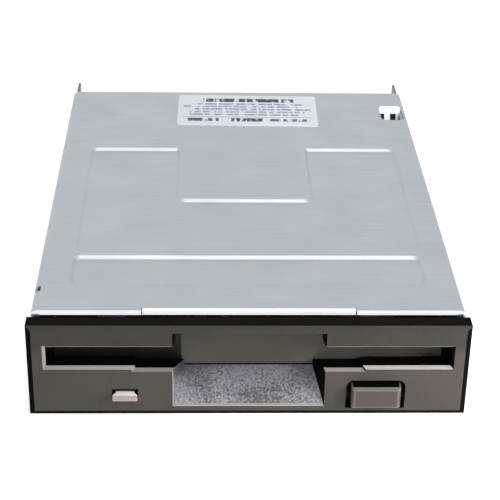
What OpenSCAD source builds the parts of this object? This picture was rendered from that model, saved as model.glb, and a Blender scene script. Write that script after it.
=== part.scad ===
// Internal 3.5-inch floppy disk drive, empty, with its slot door shut.
// X is to the right, Y to the rear, Z up. The origin is under the middle of the drive, on its base.

/* [Drive] */
// Width over the bezel, which is the standard width of the bay
drive_w = 101.6; // [101:0.1:104]
// Depth from the button's face to the rear ends of the chassis walls
drive_d = 146; // [145:1:165]
// Height from the base to the top of the label
drive_h = 25.4; // [25.2:0.1:28]

/* [Bezel] */
// Height of the bezel
bezel_h = 24; // [23.8:0.1:24.6]
// Thickness of the bezel from front to back
bezel_t = 4.4; // [4.2:0.1:4.8]
// Width of the bevel round the bezel's front
bezel_bevel_w = 1.2; // [0.4:0.1:1.6]
// How far that bevel falls back
bezel_bevel_d = 0.6; // [0.2:0.1:1]
// Thickness of the bezel's front wall over the hollows behind it
bezel_wall = 2.2; // [1.6:0.1:2.8]
// Width of the bezel beside each end of the disk slot
slot_side = 4.3; // [3.8:0.1:5]
// Clear height of the disk slot
slot_h = 5; // [4.6:0.1:5.4]
// Height of the middle of the disk slot over the base
slot_z = 15.75; // [15.5:0.05:16]
// Chamfer round the mouth of the disk slot
slot_chamfer = 0.7; // [0.5:0.05:1.4]
// Width of the stretch where the lower lip dips
lip_dip_w = 52.4; // [40:0.2:60]
// Depth of that dip
lip_dip = 0.6; // [0.2:0.1:0.8]
// Width of the finger recess at the bezel's front
recess_w = 35.2; // [30:0.2:38]
// Height of the finger recess's lower edge over the base
recess_low = 2.45; // [2:0.05:4]
// Height of the finger recess's upper edge over the base
recess_high = 22.2; // [21:0.1:22.4]
// How far each side wall of the recess leans in from front to back, below the slot
recess_lean = 2.7; // [1:0.1:4]
// The same lean above the slot
recess_top_lean = 0.6; // [0.3:0.1:1]
// Height of the recess's floor where it meets the back of the bezel
recess_floor_back = 11.1; // [10:0.1:12]
// Height of the recess's ceiling where it meets the back of the bezel
recess_ceiling_back = 20.6; // [19.6:0.1:21]

/* [Button and lamp] */
// Width of the eject button
button_w = 11.4; // [9:0.1:12]
// Height of the eject button
button_h = 5.6; // [4.6:0.1:6]
// How far the eject button stands out of the bezel with no disk in
button_proud = 2; // [1:0.1:3]
// Distance of the eject button from the middle of the drive
button_x = 29.5; // [27:0.1:31]
// Height of the eject button's middle over the base
button_z = 5.7; // [5.5:0.1:5.9]
// Gap between the button and its opening, left and right
button_gap_x = 1.2; // [0.4:0.1:1.6]
// Gap between the button and its opening, above and below
button_gap_z = 1; // [0.4:0.1:1.2]
// Radius of the upper corners of the button's opening
button_corner = 1.8; // [0.6:0.1:2.4]
// Width of the lamp's lens
lamp_w = 5.6; // [4:0.1:6]
// Height of the lamp's lens
lamp_h = 1.6; // [1.4:0.1:1.8]
// How far the lamp stands out of the bezel
lamp_proud = 1.2; // [0.4:0.1:1.8]
// Distance of the lamp from the middle of the drive
lamp_x = 28.6; // [27:0.1:30]
// Height of the lamp's middle over the base
lamp_z = 5.4; // [5.3:0.1:6.4]
// Gap beside and under the lamp in its hole
lamp_gap = 0.2; // [0.1:0.05:0.4]
// Gap over the lamp in its hole
lamp_gap_top = 1; // [0.2:0.1:1.2]
// How much narrower the lamp is behind its lens, at each side
lamp_neck = 0.6; // [0.3:0.1:0.8]

/* [Sheet metal] */
// Width over the chassis and the cover
body_w = 100; // [99.6:0.1:100.8]
// Thickness of the chassis sheet
chassis_t = 1.2; // [1:0.05:1.3]
// Outer radius of the chassis's bottom bends
chassis_bend = 1.8; // [1.4:0.1:2.4]
// Height at which the chassis walls step inward under the cover's flanges
joggle_z = 10.2; // [9.6:0.1:10.4]
// Thickness of the cover sheet
cover_t = 0.8; // [0.7:0.05:0.9]
// Outer radius of the cover's folds
cover_bend = 1.5; // [1.2:0.1:2]
// Height of the cover's front lip
cover_lip = 2; // [1.4:0.1:2.4]
// Gap between the bezel's back and the cover
cover_gap = 0.4; // [0.3:0.1:0.9]
// Width of the set-back middle of the cover's front edge
step_w = 49.2; // [40:0.2:60]
// How far the middle of the cover's front edge is set back
front_step = 1; // [0.6:0.1:1.4]
// How far the chassis walls pass the cover at the rear
ear_d = 9; // [6:0.5:12]
// Thickness of those walls' upper edges behind the cover
ear_edge = 0.7; // [0.5:0.1:1]
// Depth of the cover's sunk panels
panel_d = 0.7; // [0.4:0.05:0.8]
// Length of the slope round a sunk panel
panel_slope = 1.2; // [0.6:0.1:1.6]
// Radius of a sunk panel's corners
panel_corner = 2.4; // [1.6:0.1:3]
// Width of the window in the cover's rear right corner
window_w = 6.8; // [5:0.1:7]
// Length of that window
window_l = 10.4; // [7:0.1:12]
// Height of the lug bent down from the window's rear edge
lug_h = 4.2; // [3:0.1:5]

/* [Label] */
// Width of the paper label
label_w = 41.3; // [30:0.1:44]
// Length of the paper label
label_l = 22.6; // [16:0.1:24]
// Thickness of the paper label
label_t = 0.1; // [0.08:0.01:0.2]
// Turn of the label, clockwise from above, in degrees
label_turn = 1; // [0:0.25:2]

/* [Disk and loading] */
// Width of the disk that the drive takes
disk_w = 90; // [89.8:0.1:90.2]
// Length of that disk
disk_l = 94; // [93.8:0.1:94.2]
// How far the holder's rails reach in under the disk, on each side
rail_lap = 8.9; // [6:0.1:10]
// Clear height in the disk holder
holder_h = 4.5; // [4.3:0.05:4.6]
// Thickness of the holder's sheet
holder_t = 0.8; // [0.7:0.05:0.9]
// How far the disk drops when it is loaded
load_drop = 3.2; // [2.8:0.05:3.3]
// How far the eject slider comes forward when a disk is loaded
eject_travel = 5.5; // [5:0.1:6]
// Thickness of the eject slider's sheet
slider_t = 1; // [0.8:0.05:1.1]
// Radius of the pins that carry the disk holder
pin_r = 1.2; // [1:0.05:1.3]
// Thickness of the slot door
door_t = 1; // [0.8:0.05:1.2]
// Gap between each end of the slot door and the chassis wall, at the least
door_side = 3.2; // [2.8:0.1:5]
// How far the slot door stops short of each end of the slot, at the least
door_short = 1.7; // [1:0.1:3]

/* [Spindle] */
// Distance from the bezel's front to the spindle
spindle_back = 54; // [53:0.5:55]
// Radius of the spindle's shaft
shaft_r = 2; // [1.6:0.1:2.4]
// Outer radius of the spindle motor's rotor
rotor_r = 25; // [23:0.1:25.3]
// Radius of the hub that drives the disk
hub_r = 14.5; // [13:0.1:15]
// Number of poles on the stator
pole_count = 12; // [9:3:15]

/* [Heads] */
// Radius of the outermost track
track_r = 39.5; // [39.2:0.1:39.8]
// Travel of the heads, outermost to innermost track
head_travel = 15.3; // [14.8:0.1:15.6]
// Length of the upper head's arm from its pin to the head
arm_l = 25; // [24.6:0.1:25.6]
// Angle by which the upper arm is lifted when no disk is loaded
arm_lift = 12.9; // [12.4:0.1:13.2]
// Radius of the main guide rod
rod_r = 1.5; // [1.2:0.05:1.6]
// Radius of the second guide rod
rod2_r = 1.25; // [1:0.05:1.4]
// Radius of the lead screw
screw_r = 1.3; // [1.1:0.05:1.4]
// Radius of the stepper motor's can
stepper_r = 7.4; // [6.6:0.1:7.4]
// Length of the stepper motor's can
stepper_l = 9.4; // [8.6:0.1:9.6]

/* [Boards and sockets] */
// Thickness of the circuit boards
board_t = 1.6; // [1.2:0.1:1.8]
// Height of the main board's underside over the chassis floor
board_lift = 2; // [1.8:0.1:2.4]
// Spacing of the contacts in the signal socket
contact_pitch = 2.54; // [2.4:0.02:2.6]
// Number of contacts in each row of the signal socket
contact_count = 17; // [13:1:17]
// Spacing of the contacts in the power socket
power_pitch = 2.5; // [2:0.1:2.6]
// Number of contacts in the power socket
power_count = 4; // [4:1:4]

/* [Mounting] */
// Radius of the mounting screws' holes
mount_r = 1.25; // [1.2:0.05:1.6]
// Spacing of the mounting holes from front to rear
mount_l = 90; // [80:0.5:92]
// Spacing of the mounting holes in the base from left to right
mount_w = 76; // [72:0.5:78]
// Height of the side mounting holes over the base
mount_z = 5; // [4.8:0.1:5.6]

/* [Fits] */
// Radial clearance of a shaft or pin that turns or slides
run_fit = 0.05; // [0.03:0.01:0.08]
// Radial clearance between pieces that are fixed together
seat_fit = 0.02; // [0.01:0.01:0.03]
// Side clearance of a pin in a cam slot
cam_fit = 0.15; // [0.1:0.01:0.25]
// Gap between pieces that pass each other
pass_gap = 0.4; // [0.3:0.05:0.5]
// Gap between the holder's sides and the slider's flanges
holder_gap = 0.5; // [0.3:0.05:0.6]

/* [Hidden] */
$fn = 48;

// Planes from front to rear
y_front = -drive_d / 2 + button_proud;
y_rear = drive_d / 2;
bezel_back = y_front + bezel_t;
cover_front = bezel_back + cover_gap;
cover_back = y_rear - ear_d;
chassis_front = bezel_back + pass_gap;

// Sides and heights of the sheet metal
half_w = body_w / 2;
upper_out = half_w - cover_t;
upper_in = upper_out - chassis_t;
lower_in = half_w - chassis_t;
floor_z = chassis_t;
cover_top = drive_h - label_t;
wall_top = cover_top - cover_t;
flange_gap = 0.2;
flange_z = joggle_z + cover_t + flange_gap;
cover_screw_y = cover_back - 12;
cover_screw_z = flange_z + 4;
lip_half = upper_in - flange_gap;
step_half = step_w / 2;
window_x = half_w - 1.1 - window_w;
lug_back = cover_back - 10;
lug_front_y = lug_back - cover_t;
window_front = lug_back - window_l;
lug_low = wall_top - lug_h;
lug_band = 0.45 * lug_h;
lug_lean = 0.5;
fold_notch = [cover_front + 9.2, cover_front + 11.4];
fold_notch_d = 0.9;

// Disk holder at rest, raised level with the slot
slider_out = upper_in - pass_gap;
slider_in = slider_out - slider_t;
holder_out = slider_in - holder_gap;
holder_in = holder_out - holder_t;
holder_floor = slot_z - holder_h / 2;
holder_roof = holder_floor + holder_h;
holder_top = holder_roof + holder_t;
holder_front = bezel_back + 11.1;
holder_back = holder_front + disk_l - 12;
rail_in = disk_w / 2 - rail_lap;
arm_slot = 9;
prong_back = holder_back + 10;
pin_z = slot_z;
pin_rows = [holder_front + 17.5, holder_front + 69.5];

// Eject slider at rest, drawn back by the last ejection
slider_z = holder_top + 1.5;
slider_top = slider_z + slider_t;
slider_front = holder_front + 7.5;
slider_bridge = 24;
slider_back = holder_front + 79.5;
slider_low = joggle_z - 1.7;
tongue_z = button_z - slider_t / 2;
tongue_front = bezel_back + 6.6;
tongue_l = 8;
button_back = bezel_back + 8.6;
hook_y = slider_front + 35;
post_y = hook_y - 28;
spring_x = half_w - 6;
spring_z = floor_z + 5;
post_r = 1.2;
post_top = spring_z + 1.6;

// Disk slot and its door
slot_w = drive_w - 2 * slot_side;
door_w = 2 * min(upper_in - door_side, slot_w / 2 - door_short);
door_front = bezel_back + pass_gap;
hinge_r = 0.9;
hinge_y = door_front + hinge_r;
hinge_z = slot_z + 4.55;
door_low = recess_floor_back + 0.1;
hinge_lug = 2;
coil_x = [3.8, 9.8] - door_w / 2 * [1, 1];

// Shutter lever on the holder's roof
lever_x = -holder_in + 9.3;
lever_y = holder_back - 18.5;
lever_l = 22;
lever_w = 6;
lever_t = 1;
lever_z = holder_top + 0.2;
lever_rest = -5;
lever_swing = 50;
lever_pin_r = 1.2;
lever_boss_r = 2.6;
lever_pivot_r = 1.5;

// Spindle motor
spindle_y = y_front + spindle_back;
motor_t = 1;
motor_top = floor_z + motor_t;
bearing_r = 6;
stator_z = motor_top + 1.2;
stator_t = 2;
coil_lap = 0.8;
magnet_t = 1.5;
rotor_wall = 1.2;
rotor_low = motor_top + 1;
rotor_top = motor_top + 6;
hub_top = rotor_top + 2;
spindle_tip = hub_top + 1.4;
magnet_out = rotor_r - rotor_wall - seat_fit;
magnet_in = magnet_out - magnet_t;
pole_r = magnet_in - 0.8;

// Heads with the carriage at the outermost track
head_y = spindle_y + track_r;
head_z = slot_z - 3.25;
pivot_y = head_y + arm_l;
pivot_z = head_z + 1;
carriage_top = head_z - 2;
nose_half = 7;
nose_front = head_y - 4.5;
body_front = head_y + 6;
body_back = pivot_y + 2;
lug_front = body_back - 4;
rod_x = -15;
rod2_x = 8.5;
rod_z = floor_z + 5.8;
bush_r = 3;
rod_front = body_front - head_travel - 5.2;
rod_end = body_back + 4.8;
screw_x = 14.5;
screw_z = floor_z + 7.7;
stepper_y = rod_end - 0.3;
screw_front = rod_front + 3.2;
arm_half = 6.5;
ear_reach = load_drop / sin(arm_lift);
ear_half = 1;
ear_z = (holder_top + 0.3 - pivot_z - (ear_reach - ear_half) * sin(arm_lift)) / cos(arm_lift);

// Collars of the mounting holes, and slots in the floor
collar_wall = 1;
collar_h = 1.1;
collar_side = 0.7;
floor_slot_x = mount_w / 2 - 8;
floor_slot_y = [spindle_y + 31, spindle_y + 47];
floor_slot_r = 3;

// Boards and sockets at the rear
board_z = floor_z + board_lift;
board_top = board_z + board_t;
board_back = y_rear - 0.7;
board_front = board_back - 34;
board_half = lower_in - collar_side - 0.3;
board_bay = [-20, 24];
carriage_bay = rod_end + 1.6;
bay_back = stepper_y + stepper_l + 0.3;
socket_back = y_rear - 0.1;
socket_l = 9;
socket_h = 8.8;
socket_wall = 1.2;
signal_w = contact_count * contact_pitch + 7.6;
signal_x = -board_half + 2;
power_w = power_count * power_pitch + 2.4;
power_x = board_half - 23.8;
contact = 0.64;
boss_r = 2.5;
screw_shank = 1.2;
screw_head_r = 2.2;
screw_head = 1;
main_bosses = [for (sx = [-1, 1], sy = [4, 16]) [sx * (board_half - 3.4), board_front + sy]];

// Front board with the lamp and the switches
front_z = floor_z + 2;
front_top = front_z + 1.2;
front_x = [-lower_in + 2.8, -lamp_x + 6.6];
front_y = [bezel_back + 2.6, bezel_back + 16];
front_bosses = [for (x = [front_x[0] + 3, front_x[1] - 3]) [x, front_y[1] - 2.6]];
plunger_y = bezel_back + 7.6;
plunger_xs = [3.5, 8.5] - disk_w / 2 * [1, 1];
plunger_r = 0.9;
plunger_top = floor_z + 9;
switch_top = front_top + 4;

// A block between two opposite corners
module span(low, high) {
    translate(low) cube(high - low);
}

// A round bar along X, Y or Z, from one place to another
module bar_x(r, x0, x1) {
    translate([x0, 0, 0]) rotate([0, 90, 0]) cylinder(r = r, h = x1 - x0);
}
module bar_y(r, y0, y1) {
    translate([0, y0, 0]) rotate([-90, 0, 0]) cylinder(r = r, h = y1 - y0);
}
module bar_z(r, z0, z1) {
    translate([0, 0, z0]) cylinder(r = r, h = z1 - z0);
}

// A shape and its mirror image on the other side of the drive
module both_sides() {
    children();
    mirror([1, 0, 0]) children();
}

// A profile drawn in X and Z, run along Y, and one drawn in Y and Z, run along X
module run_y(y0, y1) {
    translate([0, y1, 0]) rotate([90, 0, 0]) linear_extrude(y1 - y0) children();
}
module run_x(x0, x1) {
    translate([x0, 0, 0]) rotate([90, 0, 90]) linear_extrude(x1 - x0) children();
}

// A rectangle with round corners, from its lower left corner
module round_rect(w, h, r) {
    translate([r, 0]) square([w - 2 * r, h]);
    translate([0, r]) square([w, h - 2 * r]);
    for (x = [r, w - r], y = [r, h - r])
        translate([x, y]) circle(r);
}

// A slot with round ends between two points
module slot_shape(a, b, r) {
    run = b - a;
    translate(a) circle(r);
    translate(b) circle(r);
    translate(a) rotate(atan2(run[1], run[0])) translate([0, -r]) square([norm(run), 2 * r]);
}

// What a bend of radius r takes off a square corner at the origin that opens to +X and +Y
module bend_cut(r) {
    difference() {
        translate([-1, -1]) square([r + 1, r + 1]);
        translate([r, r]) circle(r);
    }
}

// One unbroken wire wound about Z, with a straight end of one wire thickness at each end
function coil_points(r, pitch, turns, wire) = let (
        rings = 8 * turns,
        at = function (i) [r * cos(360 * i / 8), r * sin(360 * i / 8), pitch * i / 8])
    concat([at(0) - [0, 2 * wire, 0]], [for (i = [0:rings]) at(i)],
        [at(rings) + 2 * wire * [-sin(360 * turns), cos(360 * turns), 0]]);
function least_gap(p, wire) =
    min([for (i = [0:len(p) - 6], j = [i + 5:len(p) - 1]) norm(p[i] - p[j])]) - 2 * wire;
module coil(name, r, pitch, turns, wire, sides = 6) {
    p = coil_points(r, pitch, turns, wire);
    echo(str(name, ": least gap between turns ", least_gap(p, wire), " mm"));
    n = len(p);
    along = function (i) let (d = p[min(i + 1, n - 1)] - p[max(i - 1, 0)]) d / norm(d);
    out = function (i) let (d = [p[i][0], p[i][1], 0] / norm([p[i][0], p[i][1]]), t = along(i),
        e = d - (d * t) * t) e / norm(e);
    rings = [for (i = [0:n - 1], k = [0:sides - 1])
        p[i] + wire * (cos(360 * k / sides) * out(i) + sin(360 * k / sides) * cross(along(i), out(i)))];
    skin = [for (i = [0:n - 2], k = [0:sides - 1], half = [0, 1])
        let (a = i * sides + k, b = i * sides + (k + 1) % sides)
        half == 0 ? [a, a + sides, b] : [b, a + sides, b + sides]];
    first_cap = [for (k = [1:sides - 2]) [0, k, k + 1]];
    last_cap = [for (k = [1:sides - 2]) [(n - 1) * sides, (n - 1) * sides + k + 1, (n - 1) * sides + k]];
    polyhedron(rings, concat(skin, first_cap, last_cap));
}

// Pressed steel tray: floor, side walls that step inward under the cover, and open front and rear
module chassis() {
    color("silver") difference() {
        union() {
            run_y(chassis_front, y_rear) difference() {
                both_sides() polygon([[0, 0], [half_w, 0], [half_w, joggle_z],
                    [upper_out, joggle_z + cover_t], [upper_out, wall_top], [upper_in, wall_top],
                    [upper_in, joggle_z + cover_t], [lower_in, joggle_z], [lower_in, floor_z], [0, floor_z]]);
                both_sides() translate([half_w, 0]) mirror([1, 0]) bend_cut(chassis_bend);
            }
            for (b = main_bosses)
                translate([b[0], b[1], 0]) bar_z(boss_r, floor_z, board_z);
            for (b = front_bosses)
                translate([b[0], b[1], 0]) bar_z(boss_r, floor_z, front_z);
            both_sides() translate([spring_x, post_y, 0]) bar_z(post_r, floor_z, post_top);
            for (x = [-1, 1] * mount_w / 2, y = [-1, 1] * mount_l / 2)
                translate([x, y, 0]) bar_z(mount_r + collar_wall, floor_z, floor_z + collar_h);
            both_sides() for (y = [-1, 1] * mount_l / 2)
                translate([0, y, mount_z]) bar_x(mount_r + collar_wall, lower_in - collar_side, lower_in);
        }
        for (x = [-1, 1] * mount_w / 2, y = [-1, 1] * mount_l / 2)
            translate([x, y, 0]) bar_z(mount_r, -1, floor_z + collar_h + 1);
        both_sides() for (y = [-1, 1] * mount_l / 2)
            translate([0, y, mount_z]) bar_x(mount_r, lower_in - collar_side - 1, half_w + 1);
        for (b = main_bosses)
            translate([b[0], b[1], 0]) bar_z(screw_shank + seat_fit, floor_z, board_z + 1);
        for (b = front_bosses)
            translate([b[0], b[1], 0]) bar_z(screw_shank + seat_fit, floor_z, front_z + 1);
        for (p = motor_holes)
            translate([p[0], p[1], 0]) bar_z(screw_shank + seat_fit, -1, floor_z + 1);
        translate([0, spindle_y, 0]) bar_z(bearing_r + seat_fit, -1, floor_z + 1);
        both_sides() run_x(upper_in - 1, half_w + 1) for (y = pin_rows)
            slot_shape([y, pin_z - load_drop], [y, pin_z], pin_r + cam_fit);
        both_sides() translate([0, cover_screw_y, cover_screw_z])
            bar_x(screw_shank + seat_fit, upper_in - 1, half_w + 1);
        for (x = hook_xs)
            span([x - hook_w / 2, bezel_back + hook_l - hook_nose - hook_gap, -1],
                [x + hook_w / 2, bezel_back + hook_l, floor_z + 1]);
        both_sides() translate([0, 0, -1]) linear_extrude(floor_z + 2)
            slot_shape([floor_slot_x, floor_slot_y[0]], [floor_slot_x, floor_slot_y[1]], floor_slot_r);
        span([upper_in - 1, lug_front_y - lug_lean * lug_h - pass_gap, lug_low - pass_gap],
            [half_w, lug_back + pass_gap, wall_top + 1]);
        both_sides() span([upper_in - 1, cover_back + pass_gap, wall_top - 3],
            [upper_out - ear_edge, y_rear + 1, wall_top + 1]);
    }
}

// A sunk panel's hollow: its mouth at the given height, its flat bottom panel_d lower, slopes between
module panel_hollow(x0, x1, y0, y1, top, ramp = panel_slope) {
    inset = panel_slope;
    hull() {
        translate([x0, y0, top]) linear_extrude(0.01) round_rect(x1 - x0, y1 - y0, panel_corner, $fn = 32);
        translate([x0 + inset, y0 + ramp, top - panel_d]) linear_extrude(0.01)
            round_rect(x1 - x0 - 2 * inset, y1 - y0 - inset - ramp, panel_corner - 1, $fn = 32);
    }
}

// Places of the sunk panels: one round three sides of the head's dome, one along the front
panel_x = [-half_w + 7.8, half_w - 6.4];
dome_x = [-16.8, 17.6];
panel_rear = cover_front + 89.6;
dome_front = cover_front + 57.6;
panel_front = cover_front + 30.2;
strip_x = [-half_w + 7.6, half_w - 7.3];
strip_y = [cover_front + 8.2, cover_front + 26.7];
strip_ramp = 6;
window_corner = 1.6;

// All sunk panels, seen from the given height
module panels(top) {
    panel_hollow(panel_x[0], dome_x[0], panel_front, panel_rear, top);
    panel_hollow(dome_x[1], panel_x[1], panel_front, panel_rear, top);
    panel_hollow(panel_x[0], panel_x[1], panel_front, dome_front, top);
    panel_hollow(strip_x[0], strip_x[1], strip_y[0], strip_y[1], top, strip_ramp);
}

// The same panels under the sheet, plain, so that the sheet keeps its thickness
module panel_backs(top) {
    low = wall_top - panel_d;
    span([panel_x[0], panel_front, low], [dome_x[0], panel_rear, top]);
    span([dome_x[1], panel_front, low], [panel_x[1], panel_rear, top]);
    span([panel_x[0], panel_front, low], [panel_x[1], dome_front, top]);
    span([strip_x[0], strip_y[0] + strip_ramp / 2, low], [strip_x[1], strip_y[1], top]);
}

// A stretch of the lug, which leans forward from the sheet down to its lower edge
module lug_stretch(x0, x1, low, top) {
    lean = lug_lean * (wall_top - low);
    run_x(x0, x1) polygon([[lug_front_y - lean, low], [lug_back - lean, low], [lug_back, wall_top],
        [lug_back, top], [lug_front_y, top], [lug_front_y, wall_top]]);
}

// Lug bent down from the window's rear edge: a band with two tongues
module window_lug(top) {
    lug_stretch(window_x, window_x + window_w, wall_top - lug_band, top);
    for (x = [0.22, 0.75] * window_w)
        lug_stretch(window_x + x, window_x + x + 0.25 * window_w, lug_low, top);
}

// Zinc-plated sheet folded over the chassis, with a lip at the front and a window with a lug at the rear
module top_cover() {
    color("lightsteelblue") difference() {
        union() {
            run_y(cover_front, cover_back) difference() {
                translate([-half_w, flange_z]) square([body_w, cover_top - flange_z]);
                translate([-upper_out, flange_z - 1]) square([2 * upper_out, wall_top - flange_z + 1]);
                both_sides() translate([half_w, cover_top]) rotate(180) bend_cut(cover_bend);
            }
            span([-lip_half, cover_front, cover_top - cover_lip],
                [lip_half, cover_front + cover_t, cover_top - cover_t / 2]);
            span([-step_half - cover_t, cover_front, cover_top - cover_lip],
                [step_half + cover_t, cover_front + front_step + cover_t, cover_top - cover_t / 2]);
            panel_backs(wall_top + cover_t / 2);
            window_lug(cover_top - cover_t / 2);
        }
        panels(cover_top);
        span([-step_half, cover_front - 1, flange_z], [step_half, cover_front + front_step, cover_top + 1]);
        translate([window_x, window_front, wall_top - panel_d]) linear_extrude(cover_t + 2 * panel_d)
            round_rect(window_w, window_l - cover_t, window_corner);
        both_sides() translate([0, cover_screw_y, cover_screw_z])
            bar_x(screw_shank + seat_fit, upper_out - 1, half_w + 1);
        span([-half_w - 1, fold_notch[0], cover_top - 2],
            [-half_w + fold_notch_d, fold_notch[1], cover_top + 1]);
    }
}

// Paper label stuck to the rear of the cover
module cover_label() {
    color("white") translate([2.6, cover_back - 13.9, cover_top]) rotate([0, 0, -label_turn])
        linear_extrude(label_t) translate([-label_w / 2, -label_l / 2]) round_rect(label_w, label_l, 0.8);
}

// Two flat-headed screws that hold the cover's flanges
module cover_screws() {
    color("gainsboro") both_sides() translate([0, cover_screw_y, cover_screw_z]) {
        bar_x(screw_shank, upper_in - 0.2, half_w);
        bar_x(screw_head_r, half_w, half_w + 0.6);
    }
}

// Hooks at the bezel's lower edge, which snap into windows in the chassis floor
hook_xs = [-14, 14];
hook_w = 8;
hook_l = 9.6;
hook_nose = 3.1;
hook_gap = 0.3;
hook_lift = 0.1;
root = 0.5;

// A mouth in the bezel's front, flared by the slot's chamfer
module flared_mouth(w, low, high) {
    c = slot_chamfer;
    intersection() {
        linear_extrude(drive_h) polygon([[-w / 2 - c - 1, y_front - 1], [w / 2 + c + 1, y_front - 1],
            [w / 2, y_front + c], [w / 2, bezel_back + 1], [-w / 2, bezel_back + 1], [-w / 2, y_front + c]]);
        run_x(-drive_w, drive_w) polygon([
            [y_front - 1, low - c - 1], [y_front + c, low], [bezel_back + 1, low],
            [bezel_back + 1, high], [y_front + c, high], [y_front - 1, high + c + 1]]);
    }
}

// Plan of the finger recess, whose side walls lean in
module recess_plan(lean) {
    half = recess_w / 2;
    back = half - lean;
    polygon([[-half, y_front - 1], [half, y_front - 1], [half, y_front], [back, bezel_back],
        [back, bezel_back + 1], [-back, bezel_back + 1], [-back, bezel_back], [-half, y_front]]);
}

// Finger recess: a sloping floor and ceiling between side walls that lean more below the slot
module finger_recess() {
    intersection() {
        union() {
            linear_extrude(slot_z) recess_plan(recess_lean);
            translate([0, 0, slot_z]) linear_extrude(drive_h - slot_z) recess_plan(recess_top_lean);
        }
        run_x(-drive_w, drive_w) polygon([[y_front - 1, recess_low], [y_front, recess_low],
            [bezel_back, recess_floor_back], [bezel_back + 1, recess_floor_back],
            [bezel_back + 1, recess_ceiling_back], [bezel_back, recess_ceiling_back],
            [y_front, recess_high], [y_front - 1, recess_high]]);
    }
}

// Dark moulded front with the disk slot, the finger recess and the openings for button and lamp
module front_bezel() {
    half = drive_w / 2;
    b = bezel_bevel_w;
    d = bezel_bevel_d;
    open_w = button_w + 2 * button_gap_x;
    open_h = button_h + 2 * button_gap_z;
    color("dimgray") difference() {
        union() {
            intersection() {
                linear_extrude(bezel_h) polygon([[-half, y_front + d], [-half + b, y_front],
                    [half - b, y_front], [half, y_front + d], [half, bezel_back], [-half, bezel_back]]);
                run_x(-half, half) polygon([[y_front + d, 0], [bezel_back, 0], [bezel_back, bezel_h],
                    [y_front + d, bezel_h], [y_front, bezel_h - b], [y_front, b]]);
            }
            both_sides() span([door_w / 2 + pass_gap, bezel_back - root, hinge_z - 1.8],
                [door_w / 2 + pass_gap + hinge_lug, hinge_y + 1.8, hinge_z + 1.6]);
            for (x = hook_xs) {
                span([x - hook_w / 2 + hook_gap, bezel_back - root, floor_z + hook_lift],
                    [x + hook_w / 2 - hook_gap, bezel_back + hook_l - hook_gap, floor_z + hook_lift + 1.6]);
                span([x - hook_w / 2 + hook_gap, bezel_back + hook_l - hook_nose, hook_gap],
                    [x + hook_w / 2 - hook_gap, bezel_back + hook_l - hook_gap, floor_z + hook_lift + 1]);
            }
        }
        flared_mouth(slot_w, slot_z - slot_h / 2, slot_z + slot_h / 2);
        flared_mouth(lip_dip_w, slot_z - slot_h / 2 - lip_dip, slot_z + slot_h / 2);
        finger_recess();
        run_y(y_front - 1, bezel_back + 1) {
            translate([button_x - open_w / 2, button_z - open_h / 2])
                round_rect(open_w, open_h, button_corner);
            translate([button_x - open_w / 2, button_z - open_h / 2]) square([open_w, open_h / 2]);
            translate([-lamp_x - lamp_w / 2 - lamp_gap, lamp_z - lamp_h / 2 - lamp_gap])
                square([lamp_w + 2 * lamp_gap, lamp_h + lamp_gap + lamp_gap_top]);
        }
        both_sides() span([recess_w / 2 + 2, y_front + bezel_wall, 2],
            [half - 4, bezel_back + 1, slot_z - slot_h / 2 - slot_chamfer - 1.2]);
        both_sides() translate([0, hinge_y, hinge_z])
            bar_x(hinge_r - 0.1 + run_fit, door_w / 2, door_w / 2 + hinge_lug);
    }
}

// Flap behind the slot, on pins at its upper edge, with a bay for its spring
module slot_door() {
    half = door_w / 2;
    color("gray") difference() {
        union() {
            span([-half, door_front, door_low], [half, door_front + door_t, hinge_z]);
            translate([0, hinge_y, hinge_z]) {
                bar_x(hinge_r, -half, half);
                both_sides() bar_x(hinge_r - 0.1, half, half + hinge_lug - 0.4);
            }
        }
        translate([0, hinge_y, hinge_z]) difference() {
            bar_x(1.6, coil_x[0], coil_x[1]);
            bar_x(0.55, coil_x[0] - 1, coil_x[1] + 1);
        }
        span([coil_x[0], door_front - 1, hinge_z - 1.6], [coil_x[1], hinge_y - 0.55, hinge_z + 1]);
    }
}

// Fine torsion spring that shuts the slot door
module door_spring() {
    color("silver") translate([coil_x[0] + 0.8, hinge_y, hinge_z]) rotate([0, 90, 0])
        coil("door spring", 1, 0.86, 5, 0.18);
}

// Button pushed onto the slider's tongue
module eject_button() {
    face = y_front - button_proud;
    bevel = 0.5;
    color("dimgray") difference() {
        union() {
            intersection() {
                run_x(button_x - button_w / 2, button_x + button_w / 2)
                    polygon([[face, button_z - button_h / 2 + bevel], [face + bevel, button_z - button_h / 2],
                        [bezel_back + 3, button_z - button_h / 2], [bezel_back + 3, button_z + button_h / 2],
                        [face + bevel, button_z + button_h / 2], [face, button_z + button_h / 2 - bevel]]);
                linear_extrude(drive_h) polygon([[button_x - button_w / 2 + bevel, face],
                    [button_x + button_w / 2 - bevel, face], [button_x + button_w / 2, face + bevel],
                    [button_x + button_w / 2, bezel_back + 3], [button_x - button_w / 2, bezel_back + 3],
                    [button_x - button_w / 2, face + bevel]]);
            }
            span([button_x - 3.5, bezel_back + 3, tongue_z - 1.4],
                [button_x + 3.5, button_back, tongue_z + slider_t + 1.4]);
        }
        span([button_x - 4.5, tongue_front - seat_fit, tongue_z - seat_fit],
            [button_x + 4.5, button_back + 1, tongue_z + slider_t + seat_fit]);
    }
}

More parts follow.
